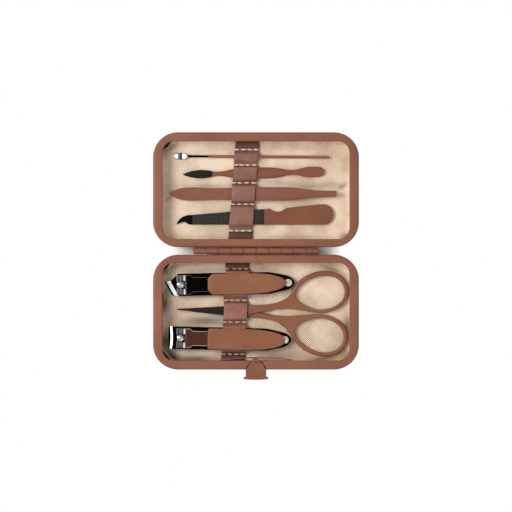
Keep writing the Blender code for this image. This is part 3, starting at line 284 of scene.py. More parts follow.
case_leather = leather("embossed_brown_leather", "835643", "5E3B2D")
skin_inset, skin_wall, skin_round, skin_top = 0.85, 0.8, 5.0, 11.5
turn_in = (skin_inset + skin_round, skin_round)
skin = bow(turn_in, skin_round, 270, 180, 12)
skin += bow((skin_inset + skin_wall / 2, skin_top - skin_wall / 2), skin_wall / 2, 180, 0, 6)
skin += bow(turn_in, skin_round - skin_wall, 180, 270, 8)
skin_part = wrap(round_tray(skin))
trays = (("base", tuple), ("lid", over))
for side, move in trays:
    make(f"{side}_cover_skin", move(skin_part), [case_leather], side, [f"{side}_cover"])

# ---- Rims. Each is one strip of steel folded into a channel, butted at the hinge side and painted
# brown with a satin powder coat; the base rim is notched for the latch, the lid's has its catch.


def satin_paint(name, colour, shade, roughness=0.46):
    """Powder coat: a slight orange peel of about 0.5 mm, and slow changes of tone and gloss."""
    material, tree, shader, where = finish(name, roughness, Specular_IOR_Level=0.28)
    slow = node(tree, "TexNoise", {"Vector": where, "Scale": 45.0, "Detail": 3.0})
    peel = node(tree, "TexNoise", {"Vector": where, "Scale": 2000.0, "Detail": 2.0})
    tone = node(tree, "MapRange", {"Value": slow, "From Min": 0.3, "From Max": 0.7})
    base = node(tree, "Mix", {0: tone, 6: shade, 7: colour}, data_type="RGBA")
    low, high = roughness - 0.07, roughness + 0.07
    gloss = node(tree, "MapRange", {"Value": slow, "To Min": low, "To Max": high})
    bump = node(tree, "Bump", {"Height": peel, "Distance": 0.00002, "Strength": 0.5})
    join(shader, {"Base Color": base, "Roughness": gloss, "Normal": bump})
    return material


def slab(x, y, z):
    """A plain block between pairs of limits."""
    loop = [(x[0], y[0]), (x[1], y[0]), (x[1], y[1]), (x[0], y[1])]
    return wrap(np.array([[(a, b, level) for a, b in loop] for level in z], float))


def plate(outline, levels):
    """A flat outline made solid: one loop for each (inset, height), moved inwards by the inset
    along the mean of its neighbours' directions."""
    line = np.asarray(outline, float)
    ahead = np.roll(line, -1, 0) - line
    ahead /= np.linalg.norm(ahead, axis=1, keepdims=True)
    mean = ahead + np.roll(ahead, 1, 0)
    mean /= np.linalg.norm(mean, axis=1, keepdims=True)
    stretch = np.clip((mean * ahead).sum(1, keepdims=True), 0.4, 1)
    inward = np.column_stack([-mean[:, 1], mean[:, 0]]) / stretch
    loops = [np.column_stack([line + inward * i, np.full(len(line), z)]) for i, z in levels]
    return wrap(np.stack(loops))


def edges(low, high, radius, steps=3):
    """Levels of a plate whose two edges are quarter rounds."""
    up = [(radius * (1 - math.cos(a)), math.sin(a)) for a in np.linspace(0, math.pi / 2, steps + 1)]
    below = [(i, low + radius * (1 - s)) for i, s in reversed(up)]
    return below + [(i, high - radius * (1 - s)) for i, s in up]


rim_paint = satin_paint("satin_brown_powder_coat", "98634D", "865440")
RIM_TOP, SKIRT, LIP, SHEET = 13.0, 8.2, 10.4, 0.6
rim_round, lip_round = 1.2, 0.35
channel = [(0.0, SKIRT + 0.1)] + bow((rim_round, RIM_TOP - rim_round), rim_round, 180, 90, 8)
channel += bow((RIM_SIDE - lip_round, RIM_TOP - lip_round), lip_round, 90, 0, 4)
channel += [(RIM_SIDE, LIP), (RIM_SIDE - SHEET, LIP), (RIM_SIDE - SHEET, RIM_TOP - SHEET)]
channel += [(rim_round, RIM_TOP - SHEET), (SHEET, RIM_TOP - rim_round), (SHEET, SKIRT), (0.1, SKIRT)]
rim = wrap(round_tray(channel, bend=28), ring=True)
seam_x, seam_width, seam_depth = 0.3, 0.16, 0.18
seam_y = (HALF_WIDTH - RIM_BACK - 1, HALF_WIDTH + 1)
seam = slab((seam_x - seam_width, seam_x), seam_y, (RIM_TOP - seam_depth, RIM_TOP + 1))
notch_half, notch_throat, notch_low = 6.49, 3.15, 11.75
notch_line = [(-notch_half, -33.5), (notch_half, -33.5), (notch_half, -HALF_WIDTH)]
notch_line += [(notch_throat, -27.1), (notch_throat, -26), (-notch_throat, -26)]
notch_line += [(-notch_throat, -27.1), (-notch_half, -HALF_WIDTH)]
notch = plate(notch_line, [(0, notch_low), (0, RIM_TOP + 1)])
catch = slab((-2.35, 2.35), (-28.0, -26.0), (9.4, 12.1))
make("base_rim", rim, [rim_paint], "base", ["base_frame"], [notch, seam])
lid_cuts = [over(catch), over(place(seam, (-2 * seam_x + seam_width, 0, 0)))]
make("lid_rim", over(rim), [rim_paint], "lid", ["lid_frame"], lid_cuts)

# ---- Hinge. Two painted steel leaves, each with five knuckles rolled from its own sheet round one
# long pin, so the knuckles show an open curl at their ends.
HINGE_Y, HINGE_Z, KNUCKLE = 34.25, 13.15, 1.25
leaf_y, leaf_low, leaf_high, pitch, gap = (32.4, 33.0), 8.7, 11.6, 7.0, 0.15


def ribbon(line, thickness, round_ends=3):
    """The closed outline of a strip of even thickness along an open line of points, with rounded
    ends: the line moved to both sides by half the thickness, and a half circle round each end."""
    line = np.asarray(line, float)
    along = np.gradient(line, axis=0)
    along /= np.linalg.norm(along, axis=1, keepdims=True)
    side = np.column_stack([-along[:, 1], along[:, 0]]) * thickness / 2
    turn = np.linspace(0, math.pi, round_ends + 2)[1:-1, None]
    far = line[-1] + side[-1] * np.cos(turn) + along[-1] * np.sin(turn) * thickness / 2
    near = line[0] - side[0] * np.cos(turn) - along[0] * np.sin(turn) * thickness / 2
    return np.vstack([line + side, far, (line - side)[::-1], near])


def drawn(loop, places):
    """A solid drawn along X: a loop of (y, z) at each of the places."""
    return wrap(np.stack([np.column_stack([np.full(len(loop), x), loop]) for x in places]))


def rolled_leaf():
    """A leaf's strip, and a strip curled nearly once round the pin for each of its knuckles."""
    (front, back), half = leaf_y, 5 * pitch
    outline = [(-half, front), (half, front), (half, back), (-half, back)]
    strip = plate(outline, edges(leaf_low, leaf_high, 0.12))
    middle = (front + back) / 2
    curl = bow((HINGE_Y, HINGE_Z), KNUCKLE - SHEET / 2, 212, -100, 26)
    line = [(middle, 10.6), (middle, 11.5), (middle + 0.18, 12.1)] + curl
    loop = ribbon(line, SHEET * 0.95)
    parts = [strip]
    for number in range(1, 10, 2):
        start = pitch * number - half + gap
        parts.append(drawn(loop, (start, start + pitch - 2 * gap)))
    return together(*parts)


leaf = rolled_leaf()
for side, move in trays:
    make(f"{side}_hinge", move(leaf), [rim_paint], side, [f"{side}_hinge_leaf"])


def lathe(profile, sides=40):
    """A solid of revolution about Z from (radius, height) points, foot first."""
    angles = 2 * math.pi * np.arange(sides) / sides
    circle = np.stack([np.cos(angles), np.sin(angles)], -1)
    return wrap(np.stack([np.column_stack([circle * r, np.full(sides, z)]) for r, z in profile]))


# Bright steel wire, drawn: fine lines along it are too small to show, so only its gloss varies.
def metal(name, colour, roughness, brushed=0.0, scale=1500.0, stretch=(1, 1, 1)):
    """Metal whose gloss and surface follow a noise stretched along its working direction."""
    material, tree, shader, where = finish(name, roughness, 1.0)
    lay = node(tree, "Mapping", {"Vector": where, "Scale": stretch})
    grain = node(tree, "TexNoise", {"Vector": lay, "Scale": scale, "Detail": 3.0})
    low, high = roughness * 0.75, roughness * 1.3 + 0.02
    gloss = node(tree, "MapRange", {"Value": grain, "To Min": low, "To Max": high})
    join(shader, {"Base Color": colour, "Roughness": gloss})
    if brushed:
        bump = node(tree, "Bump", {"Height": grain, "Distance": 0.00003, "Strength": brushed})
        join(shader, {"Normal": bump})
    return material


steel = metal("drawn_steel_wire", "4B4744", 0.32)
pin_radius, pin_tip, pin_half = 0.58, 0.4, 5 * pitch
pin_line = [(pin_tip, -pin_half), (pin_radius, 0.2 - pin_half)]
points, faces = lathe(pin_line + [(pin_radius, pin_half - 0.2), (pin_tip, pin_half)], 24)
points = points[:, (2, 1, 0)] * (1, -1, 1) + np.array((0, HINGE_Y, HINGE_Z))
make("hinge_wire", (points, faces), [steel], "base", ["hinge_pin"])

# ---- Latch. One steel pressing, painted like the rim: a thumb plate, an arm that tapers across the
# rim's notch, and a hook that stands up at its inner end. A thin bow spring pushes it outwards.


def section(across=1, corner=3):
    """A rounded rectangle's loop as shares: how far along each side a point lies, and which way
    its corner's quarter circle points there."""
    turn = np.linspace(0, math.pi / 2, corner + 1)
    inner = np.linspace(0, 1, across + 1)[1:-1]
    rows = [(f, 0, 0, -1) for f in inner]
    rows += [(1, 0, math.sin(a), -math.cos(a)) for a in turn]
    rows += [(1, 1, math.cos(a), math.sin(a)) for a in turn]
    rows += [(f, 1, 0, 1) for f in inner[::-1]]
    rows += [(0, 1, -math.sin(a), math.cos(a)) for a in turn]
    rows += [(0, 0, -math.cos(a), -math.sin(a)) for a in turn]
    return np.array(rows, float).T


def bar(x, y0, y1, z0, z1, edge=0.2, across=1, corner=3, tilt=None):
    """Rows of rounded rectangles at places along x, from y0 to y1 and z0 to z1. With tilt, each row
    stands square to a path: z0 and z1 are then measured from (x, tilt's height) along its normal."""
    x, y0, y1, z0, z1, edge = np.broadcast_arrays(*np.atleast_1d(x, y0, y1, z0, z1, edge))
    radius = np.minimum(edge, 0.49 * np.minimum(y1 - y0, z1 - z0))[:, None]
    f, g, c, s = section(across=across, corner=corner)
    y = y0[:, None] + radius + f * ((y1 - y0)[:, None] - 2 * radius) + radius * c
    z = z0[:, None] + radius + g * ((z1 - z0)[:, None] - 2 * radius) + radius * s
    along = np.repeat(x[:, None], y.shape[1], 1).astype(float)
    if tilt is None:
        return np.stack([along, y, z], -1)
    height, normal = tilt
    return np.stack([along + normal[:, :1] * z, y, height[:, None] + normal[:, 1:] * z], -1)


ARM_TOP, ARM_LOW = 12.85, 12.05
HOOK_FRONT, HOOK_BACK, HOOK_TOP, HOOK_FOOT = -26.8, -26.0, 15.35, 10.3
plate_back = -HALF_WIDTH - 4.3
ARM_HALF, HOOK_HALF = 5.75, 1.9
arm_y = np.array([plate_back - 0.5, plate_back + 0.3, -HALF_WIDTH - 0.2, -HALF_WIDTH + 0.15, -26.4])
arm_wide = np.array([ARM_HALF, ARM_HALF, ARM_HALF, ARM_HALF - 0.1, HOOK_HALF])
arm_fall = np.array([0.55, 0.5, 0.1, 0.0, 0.0])
hook = [(HOOK_FRONT, HOOK_FOOT), (HOOK_BACK, HOOK_FOOT), (HOOK_BACK, HOOK_TOP - 0.25)]
hook += bow((HOOK_BACK - 0.25, HOOK_TOP - 0.25), 0.25, 20, 90, 3)
hook += [(HOOK_FRONT, HOOK_TOP), (HOOK_FRONT - 0.45, HOOK_TOP - 0.25)]
hook += [(HOOK_FRONT - 0.78, HOOK_TOP - 0.6), (HOOK_FRONT - 0.78, 14.5), (HOOK_FRONT, 14.5)]
hook_part = drawn(hook, (-HOOK_HALF, -HOOK_HALF + 0.1, HOOK_HALF - 0.1, HOOK_HALF))
across = np.linspace(-6.9, 6.9, 25)
outer = plate_back - 1.35 + 0.42 * (across / 6.9) ** 2
inner = plate_back + 0.4 - 0.62 * (across / 6.9) ** 4
thumb_line = np.vstack([np.column_stack([across, outer]), np.column_stack([across, inner])[::-1]])
thumb = plate(thumb_line, edges(ARM_TOP + 0.3 - 5.6, ARM_TOP + 0.3, 0.3, 4))
arm_rows = bar(arm_y, -arm_wide, arm_wide, ARM_LOW - arm_fall, ARM_TOP - arm_fall, 0.12, across=6)
latch_part = together(wrap(arm_rows[..., (1, 0, 2)]), hook_part, thumb)
make("latch_button", latch_part, [rim_paint], "latch", ["latch_tab"])

spring_paint = satin_paint("painted_spring_strip", "8A5847", "744838", 0.4)
for name, way in (("left", -1), ("right", 1)):
    run = np.linspace(1, 0, 25)
    rise = 1.15 * np.cos(run * math.pi / 2)
    line = np.column_stack([way * 20 * run, HOOK_FRONT + 0.175 + rise])
    spring = plate(ribbon(line, 0.33), edges(HOOK_FOOT, HOOK_FOOT + 2.0, 0.1, 2))
    thing = make(f"latch_spring_{name}", spring, [spring_paint], None, ["latch_spring"])
    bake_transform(thing)

# ---- Linings. Imitation leather with a fine cross grain, glued over foam and drawn into each tray;
# its edge is tucked under the rim, and it is a little slack, with creases at the walls.
WALL, FLOOR, COVE = 4.2, 3.65, 2.8
lining_under = 1.2


def cross_grain():
    """Fine ridges along one diagonal of the piece's own flat layout, crossed by fainter ones, as an
    embossing roll leaves them; they are stronger in broad random patches. The grain's pitch is 0.9 mm."""
    material, tree, shader, where = finish("cross_grain_cream_lining", 0.62, Specular_IOR_Level=0.3)
    flat = node(tree, "UVMap", {}, uv_map="flat")
    patchy = node(tree, "TexNoise", {"Vector": where, "Scale": 55.0, "Detail": 3.0})
    ridges = []
    for turn, pitch_m in ((-45, 0.0009), (45, 0.00082)):
        lay = node(tree, "Mapping", {"Vector": flat, "Rotation": (0, 0, math.radians(turn))})
        settings = {"Vector": lay, "Scale": 0.1 * math.pi / pitch_m, "Distortion": 0.25}
        ridges.append(node(tree, "TexWave", settings).outputs["Fac"])
    main = node(tree, "Math", {0: ridges[0], 1: 0.88, 2: 0.0}, operation="MULTIPLY_ADD")
    both = node(tree, "Math", {0: ridges[1], 1: 0.12, 2: main}, operation="MULTIPLY_ADD")
    depth = node(tree, "MapRange", {"Value": both, "From Min": 0.1, "From Max": 0.7})
    limits = {"From Min": 0.38, "From Max": 0.6, "To Min": 0.12}
    strong = node(tree, "MapRange", {"Value": patchy, **limits})
    valley = node(tree, "Math", {0: 1.0, 1: depth}, operation="SUBTRACT")
    share = node(tree, "Math", {0: valley, 1: strong}, operation="MULTIPLY")
    base = node(tree, "Mix", {0: share, 6: "FFEAD0", 7: "A57E5A"}, data_type="RGBA")
    # Painted shade: a point attribute darkens the grain towards deep brown where shadow falls on the
    # lining.
    painted_lining_shade = node(tree, "Attribute", {}, attribute_name="painted_lining_shade").outputs["Fac"]
    dark = node(tree, "Mix", {0: painted_lining_shade, 6: base, 7: "4E301C"}, data_type="RGBA")
    bump = node(tree, "Bump", {"Height": both, "Distance": 0.00012, "Strength": 0.6})
    join(shader, {"Base Color": dark, "Normal": bump})
    return material


def lining(puckers, dimples, painted_shade_spots):
    """The lining's skin in the base tray's place, its flat layout, and a painted shade at each point
    from spots of painted shadow (x, y, long reach, short reach, turn, share): long bell curves that
    darken the colour and change no shape. The inner side runs from the floor's middle out to the walls
    and up. The floor swells by a product of sines over the foam. Each pucker (x, y, reach, depth) draws
    the wall inwards and down by a bell curve round that spot, and each dimple (x, y, reach, depth,
    slope) draws the floor down by a long bell curve. The layout is the outline at the floor's edge,
    moved out by the length up the wall."""
    cove_centre = (WALL + COVE, FLOOR + COVE)
    wall = bow(cove_centre, COVE, 270, 180, 10) + [(WALL, z) for z in (7.4, 8.4, 9.3)]
    wall += [(WALL - 0.08, 9.9), (WALL - 0.35, 10.7), (3.5, 11.35), (3.2, 11.5), (2.9, 11.3)]
    rows = round_tray(wall, bend=16, side=28)
    edge = rows[0]
    half_line = HALF_LENGTH - HALF_WIDTH
    middle = (RIM_FRONT - RIM_BACK) / 2
    spine = np.column_stack([np.clip(edge[:, 0], -half_line, half_line), np.full(len(edge), middle)])
    floor_rows = []
    for share in np.linspace(0.03, 1, 24)[:-1]:
        flat = spine + (edge[:, :2] - spine) * share
        floor_rows.append(np.column_stack([flat, np.full(len(edge), FLOOR)]))
    inner = np.concatenate([np.stack(floor_rows), rows])
    steps = np.linalg.norm(np.diff(rows, axis=0), axis=2)
    climbed = np.vstack([np.zeros(len(edge)), np.cumsum(steps, axis=0)])
    around = np.roll(edge[:, :2], -1, 0) - np.roll(edge[:, :2], 1, 0)
    outward = np.column_stack([around[:, 1], -around[:, 0]])
    outward /= np.linalg.norm(outward, axis=1, keepdims=True)
    up_wall = edge[:, :2] + outward * climbed[:, :, None]
    layout = np.concatenate([np.stack(floor_rows)[:, :, :2], up_wall])
    under = [(WALL - 0.6, 10.4), (WALL - 0.6, 6.3)]
    under += bow((WALL + COVE - 0.1, FLOOR - lining_under + COVE), COVE + 0.5, 180, 262, 6)
    rows = np.concatenate([inner, round_tray(under, bend=16, side=28)])
    layout = np.concatenate([layout, np.broadcast_to(edge[:, :2], (len(under), *edge[:, :2].shape))])
    x, y, z = np.moveaxis(rows, -1, 0)
    low = np.exp(-(((z - FLOOR) / 2.2) ** 2))
    swell = 0.5 * np.sin(x * 0.19 + 0.6) * np.sin(y * 0.3 + 1.1) + 0.3 * np.sin(x * 0.42 + y * 0.33 + 1)
    sink = (0.34 * swell - 0.24) * low
    draw = np.zeros(x.shape)
    for cx, cy, reach, depth in puckers:
        draw += depth * np.exp(-(((x - cx) ** 2 + (y - cy) ** 2) / reach**2))
    high = np.clip((z - 4.6) / 3.4, 0, 1)
    sink -= draw * np.clip((z - 8) / 3.4, 0, 1) * 0.75
    for cx, cy, reach, depth, slope in dimples:
        along = (x - cx) * math.cos(slope) + (y - cy) * math.sin(slope)
        aside = (y - cy) * math.cos(slope) - (x - cx) * math.sin(slope)
        sink -= depth * np.exp(-((along / reach) ** 2) - (aside / (reach * 0.36)) ** 2) * low
    rows[..., :2] -= outward * (draw * high)[..., None]
    rows[..., 2] += np.where(high > 0, sink, np.maximum(sink, -0.75))
    kept = np.ones(x.shape)
    for cx, cy, long, short, turn, share in painted_shade_spots:
        c, s = math.cos(math.radians(turn)), math.sin(math.radians(turn))
        along, aside = (x - cx) * c + (y - cy) * s, (y - cy) * c - (x - cx) * s
        kept *= 1 - share * np.exp(-((along / long) ** 2) - (aside / short) ** 2)
    return (*wrap(rows), layout.reshape(-1, 2), 1 - kept.ravel())


lining_grain = cross_grain()
base_puckers = [(-50.5, 25.5, 5, 3.0), (-50, -24, 6.5, 3.4), (-54, 8.5, 5.5, 2.7), (51, 26, 5, 1.6)]
base_dimples = [(-46, -3, 9, 0.5, 0.2), (44, 25, 9, 0.6, -0.4), (20, -26, 9, 0.5, 0.1)]
# Spots of painted shade on the base lining (x, y, long reach, short reach, turn, share): shadow by the
# walls and corners, and under and beside the clippers and the scissors.
base_painted_shade_spots = [(-51.8, 4.5, 6.0, 2.2, 90, 0.92), (-51.3, -16.5, 6.5, 2.6, 90, 0.94)]
base_painted_shade_spots += [(-47.6, -24.8, 6.5, 3.2, -25, 0.92), (-34.0, -26.8, 14.0, 2.2, 0, 0.85)]
base_painted_shade_spots += [(-51.2, 24.4, 3.4, 2.0, 75, 0.85), (-50.6, 11.5, 4.0, 2.4, 90, 0.5)]
base_painted_shade_spots += [(-22.0, 23.4, 18.0, 1.6, 2, 0.38), (-28.5, -5.3, 14.5, 3.3, 0, 0.78)]
base_painted_shade_spots += [(14.0, -26.0, 12.0, 2.4, 3, 0.55), (37.0, -26.7, 8.0, 1.2, 3, 0.8)]
base_painted_shade_spots += [(44.0, 23.2, 7.0, 1.3, -20, 0.6), (51.7, -7.5, 4.8, 1.6, 90, 0.75)]
base_painted_shade_spots += [(50.5, -24.6, 3.4, 2.0, 45, 0.55), (5.0, 23.6, 6.0, 1.6, -4, 0.12)]
lid_puckers = [(50.5, -25.5, 5.5, 3.2), (-50.5, 26, 4, 2.0), (54, 2, 6, 0.9), (-54, -2, 4, 0.6)]
lid_dimples = [(50, 4.8, 4.5, 0.9, 0.6), (-48, -1.2, 4.5, 0.9, 0.5), (20, -26, 9, 0.5, 0.1)]
# Spots of painted shade on the lid lining, laid out in the same way, by the walls and beside the tools.
lid_painted_shade_spots = [(50.2, -24.4, 3.6, 1.8, 45, 0.85), (51.6, -19.5, 3.0, 1.6, 90, 0.4)]
lid_painted_shade_spots += [(49.5, 4.7, 2.8, 0.9, 40, 0.42), (27.0, -2.6, 14.0, 1.3, 0, 0.28)]
lid_painted_shade_spots += [(32.0, 26.6, 20.0, 1.5, 0, 0.25), (-48.5, -2.0, 2.8, 1.3, 30, 0.6)]
lid_painted_shade_spots += [(-33.0, -2.4, 13.0, 1.5, 2, 0.3), (-49.0, 25.6, 3.0, 1.5, 40, 0.55)]
lid_painted_shade_spots += [(-14.0, -4.2, 12.0, 1.6, -3, 0.3), (-20.0, -24.2, 24.0, 1.9, 0, 0.2)]
lid_painted_shade_spots += [(-20.0, 26.6, 22.0, 1.3, 0, 0.32), (-51.5, -18.0, 6.0, 2.6, 80, 0.18)]
lid_painted_shade_spots += [(-42.0, -3.6, 6.5, 2.2, 0, 0.26), (23.0, -24.2, 11.0, 2.6, 0, 0.19)]
slack_and_painted_shade = {"base": (base_puckers, base_dimples, base_painted_shade_spots), "lid": (lid_puckers, lid_dimples, lid_painted_shade_spots)}
for side, move in trays:
    points, faces, layout, painted_lining_shade = lining(*slack_and_painted_shade[side])
    part, nodes = move((points, faces)), [f"{side}_lining"]
    thing = make(f"{side}_lining_skin", part, [lining_grain], side, nodes, sharp=60)
    # Painted shade: each point's darkening is kept on the mesh for the lining's material.
    shade = thing.data.attributes.new("painted_lining_shade", "FLOAT", "POINT")
    shade.data.foreach_set("value", painted_lining_shade.astype(np.float32))
    corners = np.zeros(len(thing.data.loops), np.int32)
    thing.data.loops.foreach_get("vertex_index", corners)
    uv = thing.data.uv_layers.new(name="flat")
    uv.data.foreach_set("uv", (layout[corners] * MM).astype(np.float32).ravel())

# ---- Straps. A leather band crosses each tray, stitched down to the lining between the tools with a
# thick pinkish thread, so that every tool slides under a loop of its own.
STRAP_WIDTH, STRAP_SHEET, TOOL_FLOOR = 13.6, 0.6, 3.95


def strap_line(bumps, front, back):
    """The band's middle line in (y, z): up each end wall, flat on the lining and over each bump
    (front edge, back edge, height); then evenly spaced and rounded by a moving mean."""
    low, top, turn, side, step, soft = TOOL_FLOOR + STRAP_SHEET / 2, 9.0, 1.8, 0.6, 0.2, 1.1
    line = [(front - 0.2, top), (front - 0.2, low + turn)]
    line += [(front - 0.2 + turn / 3, low + turn / 3), (front - 0.2 + turn, low)]
    for start, end, height in bumps:
        crest = height + side
        line += [(start - 1.2 - side, low), (start - side, crest - 0.6), (start, crest)]
        line += [(end, crest), (end + side, crest - 0.6), (end + 1.2 + side, low)]
    line += [(back + 0.2 - turn, low), (back + 0.2 - turn / 3, low + turn / 3)]
    line = np.array(line + [(back + 0.2, low + turn), (back + 0.2, top)])
    run = np.concatenate([[0], np.cumsum(np.linalg.norm(np.diff(line, axis=0), axis=1))])
    even = np.arange(0, run[-1], step)
    points = np.column_stack([np.interp(even, run, line[:, i]) for i in (0, 1)])
    width = int(soft / step)
    padded = np.pad(points, ((width, width), (0, 0)), "edge")
    kernel = np.hanning(2 * width + 3)[1:-1]
    smooth = [np.convolve(padded[:, i], kernel / kernel.sum(), "valid") for i in (0, 1)]
    return np.column_stack(smooth)


def normals(line):
    """Unit vectors square to an open line, to its left."""
    along = np.gradient(line, axis=0)
    along /= np.linalg.norm(along, axis=1, keepdims=True)
    return np.column_stack([-along[:, 1], along[:, 0]])


def strap(line, middle, lean, origin):
    """The band: rounded rectangles square to the line, a touch narrower where it is stretched over
    a tool, and sheared sideways as it crosses the tray."""
    rise = np.clip((line[:, 1] - TOOL_FLOOR - 0.4) / 3, 0, 1)
    half = STRAP_WIDTH / 2 - 0.25 * rise + 0.06 * np.sin(line[:, 0] * 1.7)
    wander = 0.12 * np.sin(line[:, 0] * 0.35 + middle)
    normal = normals(line)
    thick, tilt = STRAP_SHEET / 2, (line[:, 1], normal)
    rows = bar(line[:, 0], wander - half, wander + half, -thick, thick, 0.24, across=10, tilt=tilt)
    curl = 0.1 * (2 * rows[..., 1] / STRAP_WIDTH) ** 4
    rows[..., 2] -= curl * normal[:, 1:]
    rows = rows[..., (1, 0, 2)]
    rows[..., 0] += middle + lean * (rows[..., 1] - origin)
    return wrap(rows)


def shadowed(thing, line, rows_y, around):
    """Gives each point of a band a painted shade: full where it climbs the walls, and by a narrow bell
    curve in the crease beside each row of stitches."""
    painted_stitch_shade = sum(np.exp(-(((line[:, 0] - y + 0.75) / 0.5) ** 2)) for y in rows_y)
    ends = np.clip((np.abs(line[:, 0] - line[:, 0].mean()) - 22.4) / 1.6, 0, 1)
    dark = np.clip(0.7 * painted_stitch_shade + 0.7 * ends, 0, 1)
    wear_and_painted_shade = thing.data.attributes.new("wear_and_painted_shade", "FLOAT", "POINT")
    wear_and_painted_shade.data.foreach_set("value", np.repeat(dark, around).astype(np.float32))


def stitches(line, rows_y, middle, lean, origin):
    """Rows of thread across the band, lying on its upper side: each stitch is a slim spindle whose
    radius follows a half sine, arched a little, with its ends sunk into the leather."""
    parts = []
    spots = np.linspace(0, 1, 9)
    for number, y in enumerate(rows_y):
        level = np.interp(y, line[:, 0], line[:, 1]) + STRAP_SHEET / 2
        for count in range(4):
            shift = -7.2 + 3.6 * count + 0.3 * math.sin(number * 2.1 + count)
            length = 3.05 + 0.2 * math.sin(count * 1.9 + number)
            slope = 0.1 * math.sin(number * 1.3 + count * 2.2) - 0.04
            x = shift + length * spots
            radius = 0.1 + 0.4 * np.sin(np.pi * spots) ** 0.45
            height = 0.24 * np.sin(np.pi * spots) - 0.02
            loops = []
            for a in 2 * math.pi * np.arange(8) / 8:
                side = slope * (x - shift - length / 2) + radius * math.cos(a)
                loops.append(np.column_stack([x, side, height + radius * math.sin(a)]))
            rows = np.stack(loops, 1)
            rows[..., 0] += middle + lean * (y - origin)
            rows[..., 1] += y
            rows[..., 2] += level
            parts.append(wrap(rows))
    return together(*parts)


# Split leather with a smooth mauve-brown face: fine creases, and small dark pits where the hair was.
def strap_leather(name, colour, shade):
    """Fine creases by stretched noise; pits are the lowest spots of a noise of about 1.2 mm."""
    material, tree, shader, where = finish(name, 0.5, Specular_IOR_Level=0.35)
    slow = node(tree, "TexNoise", {"Vector": where, "Scale": 120.0, "Detail": 5.0})
    fine = node(tree, "TexNoise", {"Vector": where, "Scale": 1400.0, "Detail": 4.0, "Roughness": 0.65})
    spots = node(tree, "TexNoise", {"Vector": where, "Scale": 1000.0, "Detail": 2.0})
    pits = node(tree, "MapRange", {"Value": spots, "From Min": 0.27, "From Max": 0.34})
    tone = node(tree, "MapRange", {"Value": slow, "From Min": 0.32, "From Max": 0.68})
    base = node(tree, "Mix", {0: tone, 6: shade, 7: colour}, data_type="RGBA")
    pitted = node(tree, "Mix", {0: pits, 6: "46291F", 7: base}, data_type="RGBA")
    # Painted shade: the band's point attribute darkens it towards deep brown at the walls and beside the
    # stitches.
    wear_and_painted_shade = node(tree, "Attribute", {}, attribute_name="wear_and_painted_shade").outputs["Fac"]
    dark = node(tree, "Mix", {0: wear_and_painted_shade, 6: pitted, 7: "3F2318"}, data_type="RGBA")
    height = node(tree, "Math", {0: fine, 1: pits}, operation="ADD")
    bump = node(tree, "Bump", {"Height": height, "Distance": 0.00008, "Strength": 0.6})
    join(shader, {"Base Color": dark, "Normal": bump})
    return material


def twisted_thread(name, colour, deep):
    """Polyester thread, three ply: the twist shows as slanted ridges about 0.35 mm apart."""
    material, tree, shader, where = finish(name, 0.6, Sheen_Weight=0.3)
    lay = node(tree, "Mapping", {"Vector": where, "Rotation": (0, 0, math.radians(35))})
    twist = node(tree, "TexWave", {"Vector": lay, "Scale": 0.1 * math.pi / 0.00035}).outputs["Fac"]
    ply = node(tree, "Mix", {0: twist, 6: deep, 7: colour}, data_type="RGBA")
    bump = node(tree, "Bump", {"Height": twist, "Distance": 0.00008, "Strength": 0.8})
    join(shader, {"Base Color": ply, "Normal": bump})
    return material


base_hide = strap_leather("pitted_tan_brown_leather", "A67461", "8E604E")
base_thread = twisted_thread("faded_pink_thread", "EBCDBF", "C79F8F")
lid_hide = strap_leather("pitted_mauve_brown_leather", "976B58", "805A48")
lid_thread = twisted_thread("pale_pink_thread", "FFF1E8", "EDC8B8")
base_rows, lid_rows = (24.0, 6.3, -5.9, -24.0), (91.4, 82.6, 72.6, 60.7, 45.6)
base_bumps = [(-21.71, -8.82, 7.57), (-3.75, 4.25, 6.4), (9.39, 22.27, 7.57)]
lid_bumps = [(49.15, 58.5, 5.15), (62.69, 70.09, 7.93), (74.83, 80.93, 5.95), (85.52, 88.72, 5.55)]
for body, hide, thread, bumps, ends, rows_y, middle, lean, origin in (
    ("base", base_hide, base_thread, base_bumps, (-27.1, 27.6), base_rows, -11.6, 0.045, 0.0),
    ("lid", lid_hide, lid_thread, lid_bumps, (40.9, 95.6), lid_rows, -6.9, 0.075, LID_Y),
):
    line = strap_line(bumps, *ends)
    band = strap(line, middle, lean, origin)
    thing = make(f"{body}_strap_band", band, [hide], body, [f"{body}_strap"])
    shadowed(thing, line, rows_y, len(band[0]) // len(line))
    thread_part = stitches(line, rows_y, middle, lean, origin)
    make(f"{body}_stitches", thread_part, [thread], body, sharp=80)

# ---- Ear pick. A thin steel wire, flattened and dished at its end into a bright spoon, black behind
# it, and painted brown for most of its length.


def follow(table, x):
    """Values at x of a curve through a table's rows: cubic pieces whose slope at each row is the
    harmonic mean of those on either side, or level at a peak, so it never swings past the table."""
    table = np.asarray(table, float)
    t, v = table[:, 0], table[:, 1:]
    gaps = np.diff(t)[:, None]
    d = np.diff(v, axis=0) / gaps
    total = d[1:] + d[:-1]
    level = d[1:] * d[:-1] <= 0
    inner = np.where(level, 0, 2 * d[1:] * d[:-1] / np.where(level, 1, total))
    m = np.vstack([d[:1], inner, d[-1:]])
    k = np.clip(np.searchsorted(t, x, side="right") - 1, 0, len(gaps) - 1)
    h, u = gaps[k], ((x - t[k]) / gaps[k, 0])[:, None]
    start = (2 * u**3 - 3 * u**2 + 1) * v[k] + (u**3 - 2 * u**2 + u) * h * m[k]
    return start + (3 * u**2 - 2 * u**3) * v[k + 1] + (u**3 - u**2) * h * m[k + 1]


def stations(table, size, count):
    """Places along a slim tool, closest together at its ends, and its width and thickness there."""
    x = size[0] * (1 - np.cos(np.linspace(0, math.pi, count))) / 2
    return (x, *follow(np.array(table) * size, x).T)


